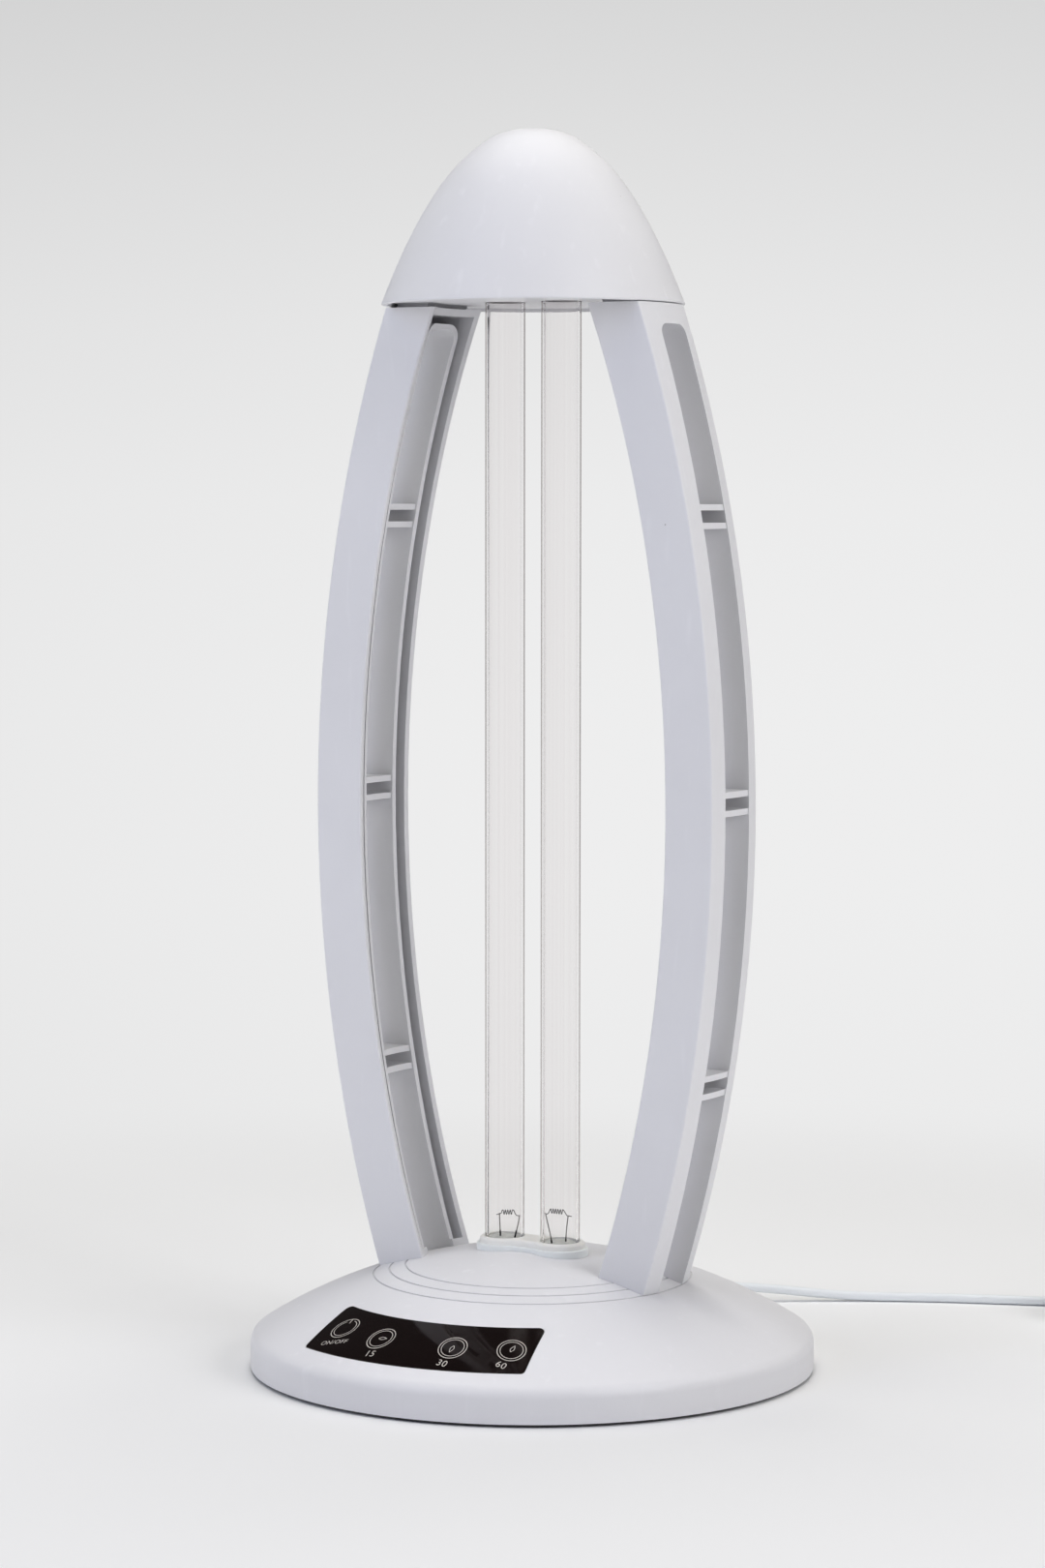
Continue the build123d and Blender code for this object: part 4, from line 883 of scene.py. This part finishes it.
for stem in stems:
    for spots in stem["leads"]:
        line = smooth_line(on_stem(stem["tube"], spots), 40)
        thick = line[:, 2] < base_height + stem["thick"]
        lead_blocks.append(wire(line, np.where(thick, lead_tip_radius, lead_radius), stem_front))
    for spots in stem["arms"]:
        coil_blocks.append(wire(smooth_line(on_stem(stem["tube"], spots), 30), coil_wire_radius, stem_front))
    start, end, coil_turns = stem["coil"]
    ends = on_stem(stem["tube"], [start, end])
    t = np.linspace(0, 1, coil_turns * 24 + 1)
    swing = 2 * pi * coil_turns * t
    middle = ends[0] + t[:, None] * (ends[1] - ends[0])
    outward = np.cos(swing)[:, None] * (0, 0, 1) + np.sin(swing)[:, None] * stem_front
    coil_blocks.append(wire(middle + coil_radius * outward, coil_wire_radius, outward))

nickel, tree, principled = shader("lead_nickel", (0.30, 0.29, 0.28), 0.35, Metallic=1.0)
tip = spread(tree, height_on(tree), 1, 0, base_height + 0.0054, base_height + 0.0060)
bright = mixed(tree, noise(tree, 0.0008, 3.0), (0.16, 0.155, 0.15), (0.34, 0.33, 0.32))
tree.links.new(mixed(tree, tip, bright, (0.02, 0.02, 0.02)), principled.inputs["Base Color"])
roughen(tree, principled, noise(tree, 0.0004, 2.0), 0.00001)
put("filament_wires", *joined(*lead_blocks), "lead_nickel", nickel, ("filament_leads",))
tungsten = finish("tungsten", (0.06, 0.06, 0.06), 0.45, grain=0.0002, patch=0.001, shade=0.2, Metallic=1.0)
put("filament_turns", *joined(*coil_blocks), "tungsten", tungsten, ("filament_coils",))

# ---- Lamp holder --------------------------------------------------------------------------------
# A waisted block of cream-coloured ceramic, cemented round the tubes' feet. It stands on a pale
# blue silicone gasket and is clamped from below, over the socket and its leads.

ceramic, tree, principled = shader("holder_cream", (0.93, 0.925, 0.90), 0.42)
clouds = mixed(tree, spread(tree, noise(tree, 0.006, 5.0), 0, 1), (0.91, 0.895, 0.86), (0.94, 0.94, 0.925))
pits = spread(tree, noise(tree, 0.0012, 2.0), 0, 1, 0.66, 0.78)
tree.links.new(mixed(tree, pits, clouds, (0.82, 0.78, 0.70)), principled.inputs["Base Color"])
tree.links.new(spread(tree, noise(tree, 0.004, 3.0), 0.34, 0.52), principled.inputs["Roughness"])
roughen(tree, principled, noise(tree, 0.0015, 4.0), 0.00006)
dress("lamp_holder", ceramic)
dress("holder_gasket", finish("gasket_blue", (0.90, 0.93, 0.93), 0.4, grain=0.0008, patch=0.004))
dress("holder_clamp", finish("clamp_steel", (0.60, 0.61, 0.62), 0.35, stretch=(8, 1, 1), Metallic=1.0))
dress("clamp_screws", screw_steel)
dress("contact_pins", finish("pin_brass", (0.78, 0.58, 0.26), 0.25, Metallic=1.0))
dress("lamp_socket", finish("socket_ceramic", (0.80, 0.78, 0.70), 0.5, patch=0.006, depth=0.00003))
dress("lamp_leads", finish("lead_white", (0.76, 0.76, 0.73), 0.4))

# ---- Driver board -------------------------------------------------------------------------------
# A green circuit board on four posts carries the ballast: a ferrite choke, capacitors, a relay, a
# buzzer and the terminals where the mains leads end.

board, tree, principled = shader("board_green", (0.02, 0.14, 0.05), 0.35)
tracks = spread(tree, noise(tree, 0.004, 0.0, (3, 0.6, 1)), 0, 1, 0.52, 0.54)
tree.links.new(mixed(tree, tracks, (0.015, 0.11, 0.04), (0.04, 0.20, 0.07)), principled.inputs["Base Color"])
roughen(tree, principled, tracks, 0.00003)
dress("driver_board", board)
dress("choke_core", finish("ferrite", (0.055, 0.055, 0.06), 0.5, grain=0.0006, depth=0.00004))
copper, tree, principled = shader("winding_copper", (0.55, 0.30, 0.12), 0.3, Metallic=1.0)
place = tree.nodes.new("ShaderNodeTexCoord")
strands = tree.nodes.new("ShaderNodeTexWave")
strands.bands_direction = "Z"
strands.inputs["Scale"].default_value = 600.0
tree.links.new(place.outputs["Object"], strands.inputs["Vector"])
wound = mixed(tree, strands.outputs["Fac"], (0.30, 0.14, 0.05), (0.66, 0.38, 0.16))
tree.links.new(wound, principled.inputs["Base Color"])
roughen(tree, principled, strands.outputs["Fac"], 0.0001)
dress("choke_winding", copper)
dress("electrolytic_capacitors", finish("capacitor_sleeve", (0.012, 0.012, 0.03), 0.25))
dress("film_capacitors", finish("film_capacitor", (0.50, 0.30, 0.04), 0.35, depth=0.00003))
dress("relay", finish("relay_case", (0.02, 0.07, 0.28), 0.3))
dress("buzzer", finish("buzzer_case", (0.02, 0.02, 0.02), 0.4))
dress("terminal_block", finish("terminal_case", (0.03, 0.20, 0.09), 0.4))
dress("mains_leads", finish("lead_brown", (0.20, 0.08, 0.035), 0.4))

# ---- Cord gland ---------------------------------------------------------------------------------
# A soft PVC strain relief moulded onto the cord: a flange against the base, and a tapered sleeve
# with rings cut into it, so that it bends with the cord.

gland_low, gland_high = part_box("cord_gland")
gland_height = (gland_low.z + gland_high.z) / 2
flange_radius = (gland_high.z - gland_low.z) / 2
flange_depth = 0.0022
neck_radius = 0.0034
collar_radius = 0.0042
collar_depth = 0.0018
sleeve_tip = 0.00265
ring_count = 6
neck_end = base_radius
sleeve_start = neck_end + flange_depth
rise = np.linspace(0, 1, 97)
taper = neck_radius + (sleeve_tip - neck_radius) * rise
waves = 0.00042 * (0.5 - 0.5 * np.cos(2 * pi * ring_count * rise)) * np.clip(8 * (1 - rise), 0, 1)
sleeve = np.stack([taper - waves, sleeve_start + (gland_high.y - sleeve_start) * rise], 1)
bore = cord_diameter / 2 + 0.00005
gland_outline = np.vstack(
    [
        (bore, gland_low.y),
        (collar_radius - 0.0003, gland_low.y),
        (collar_radius, gland_low.y + 0.0003),
        (collar_radius, gland_low.y + collar_depth),
        (neck_radius, gland_low.y + collar_depth),
        (neck_radius, neck_end),
        (flange_radius - 0.0001, neck_end),
        (flange_radius, neck_end + 0.0002),
        (flange_radius, neck_end + 0.0013),
        (flange_radius - 0.0006, neck_end + 0.0019),
        (neck_radius + 0.0005, sleeve_start),
        sleeve,
        (bore, gland_high.y),
        (bore, gland_low.y),
    ]
)
gland_points, gland_faces = turned(gland_outline, 40)
gland_points = gland_points[:, [1, 2, 0]] + (0, 0, gland_height)
gland_pvc = finish("gland_pvc", (0.76, 0.77, 0.79), 0.45, grain=0.0006, patch=0.008)
put("gland_sleeve", gland_points, gland_faces, "cord_pvc", gland_pvc, ("cord_gland",))

# ---- Plug ---------------------------------------------------------------------------------------
# A moulded two-pin plug of the same white PVC, with turned pins of nickelled brass.

dress("plug_body", finish("plug_pvc", (0.76, 0.77, 0.78), 0.42, grain=0.0006, depth=0.00002, patch=0.01))
dress("plug_pins", finish("plug_nickel", (0.70, 0.68, 0.64), 0.18, Metallic=1.0))

bpy.context.view_layer.update()
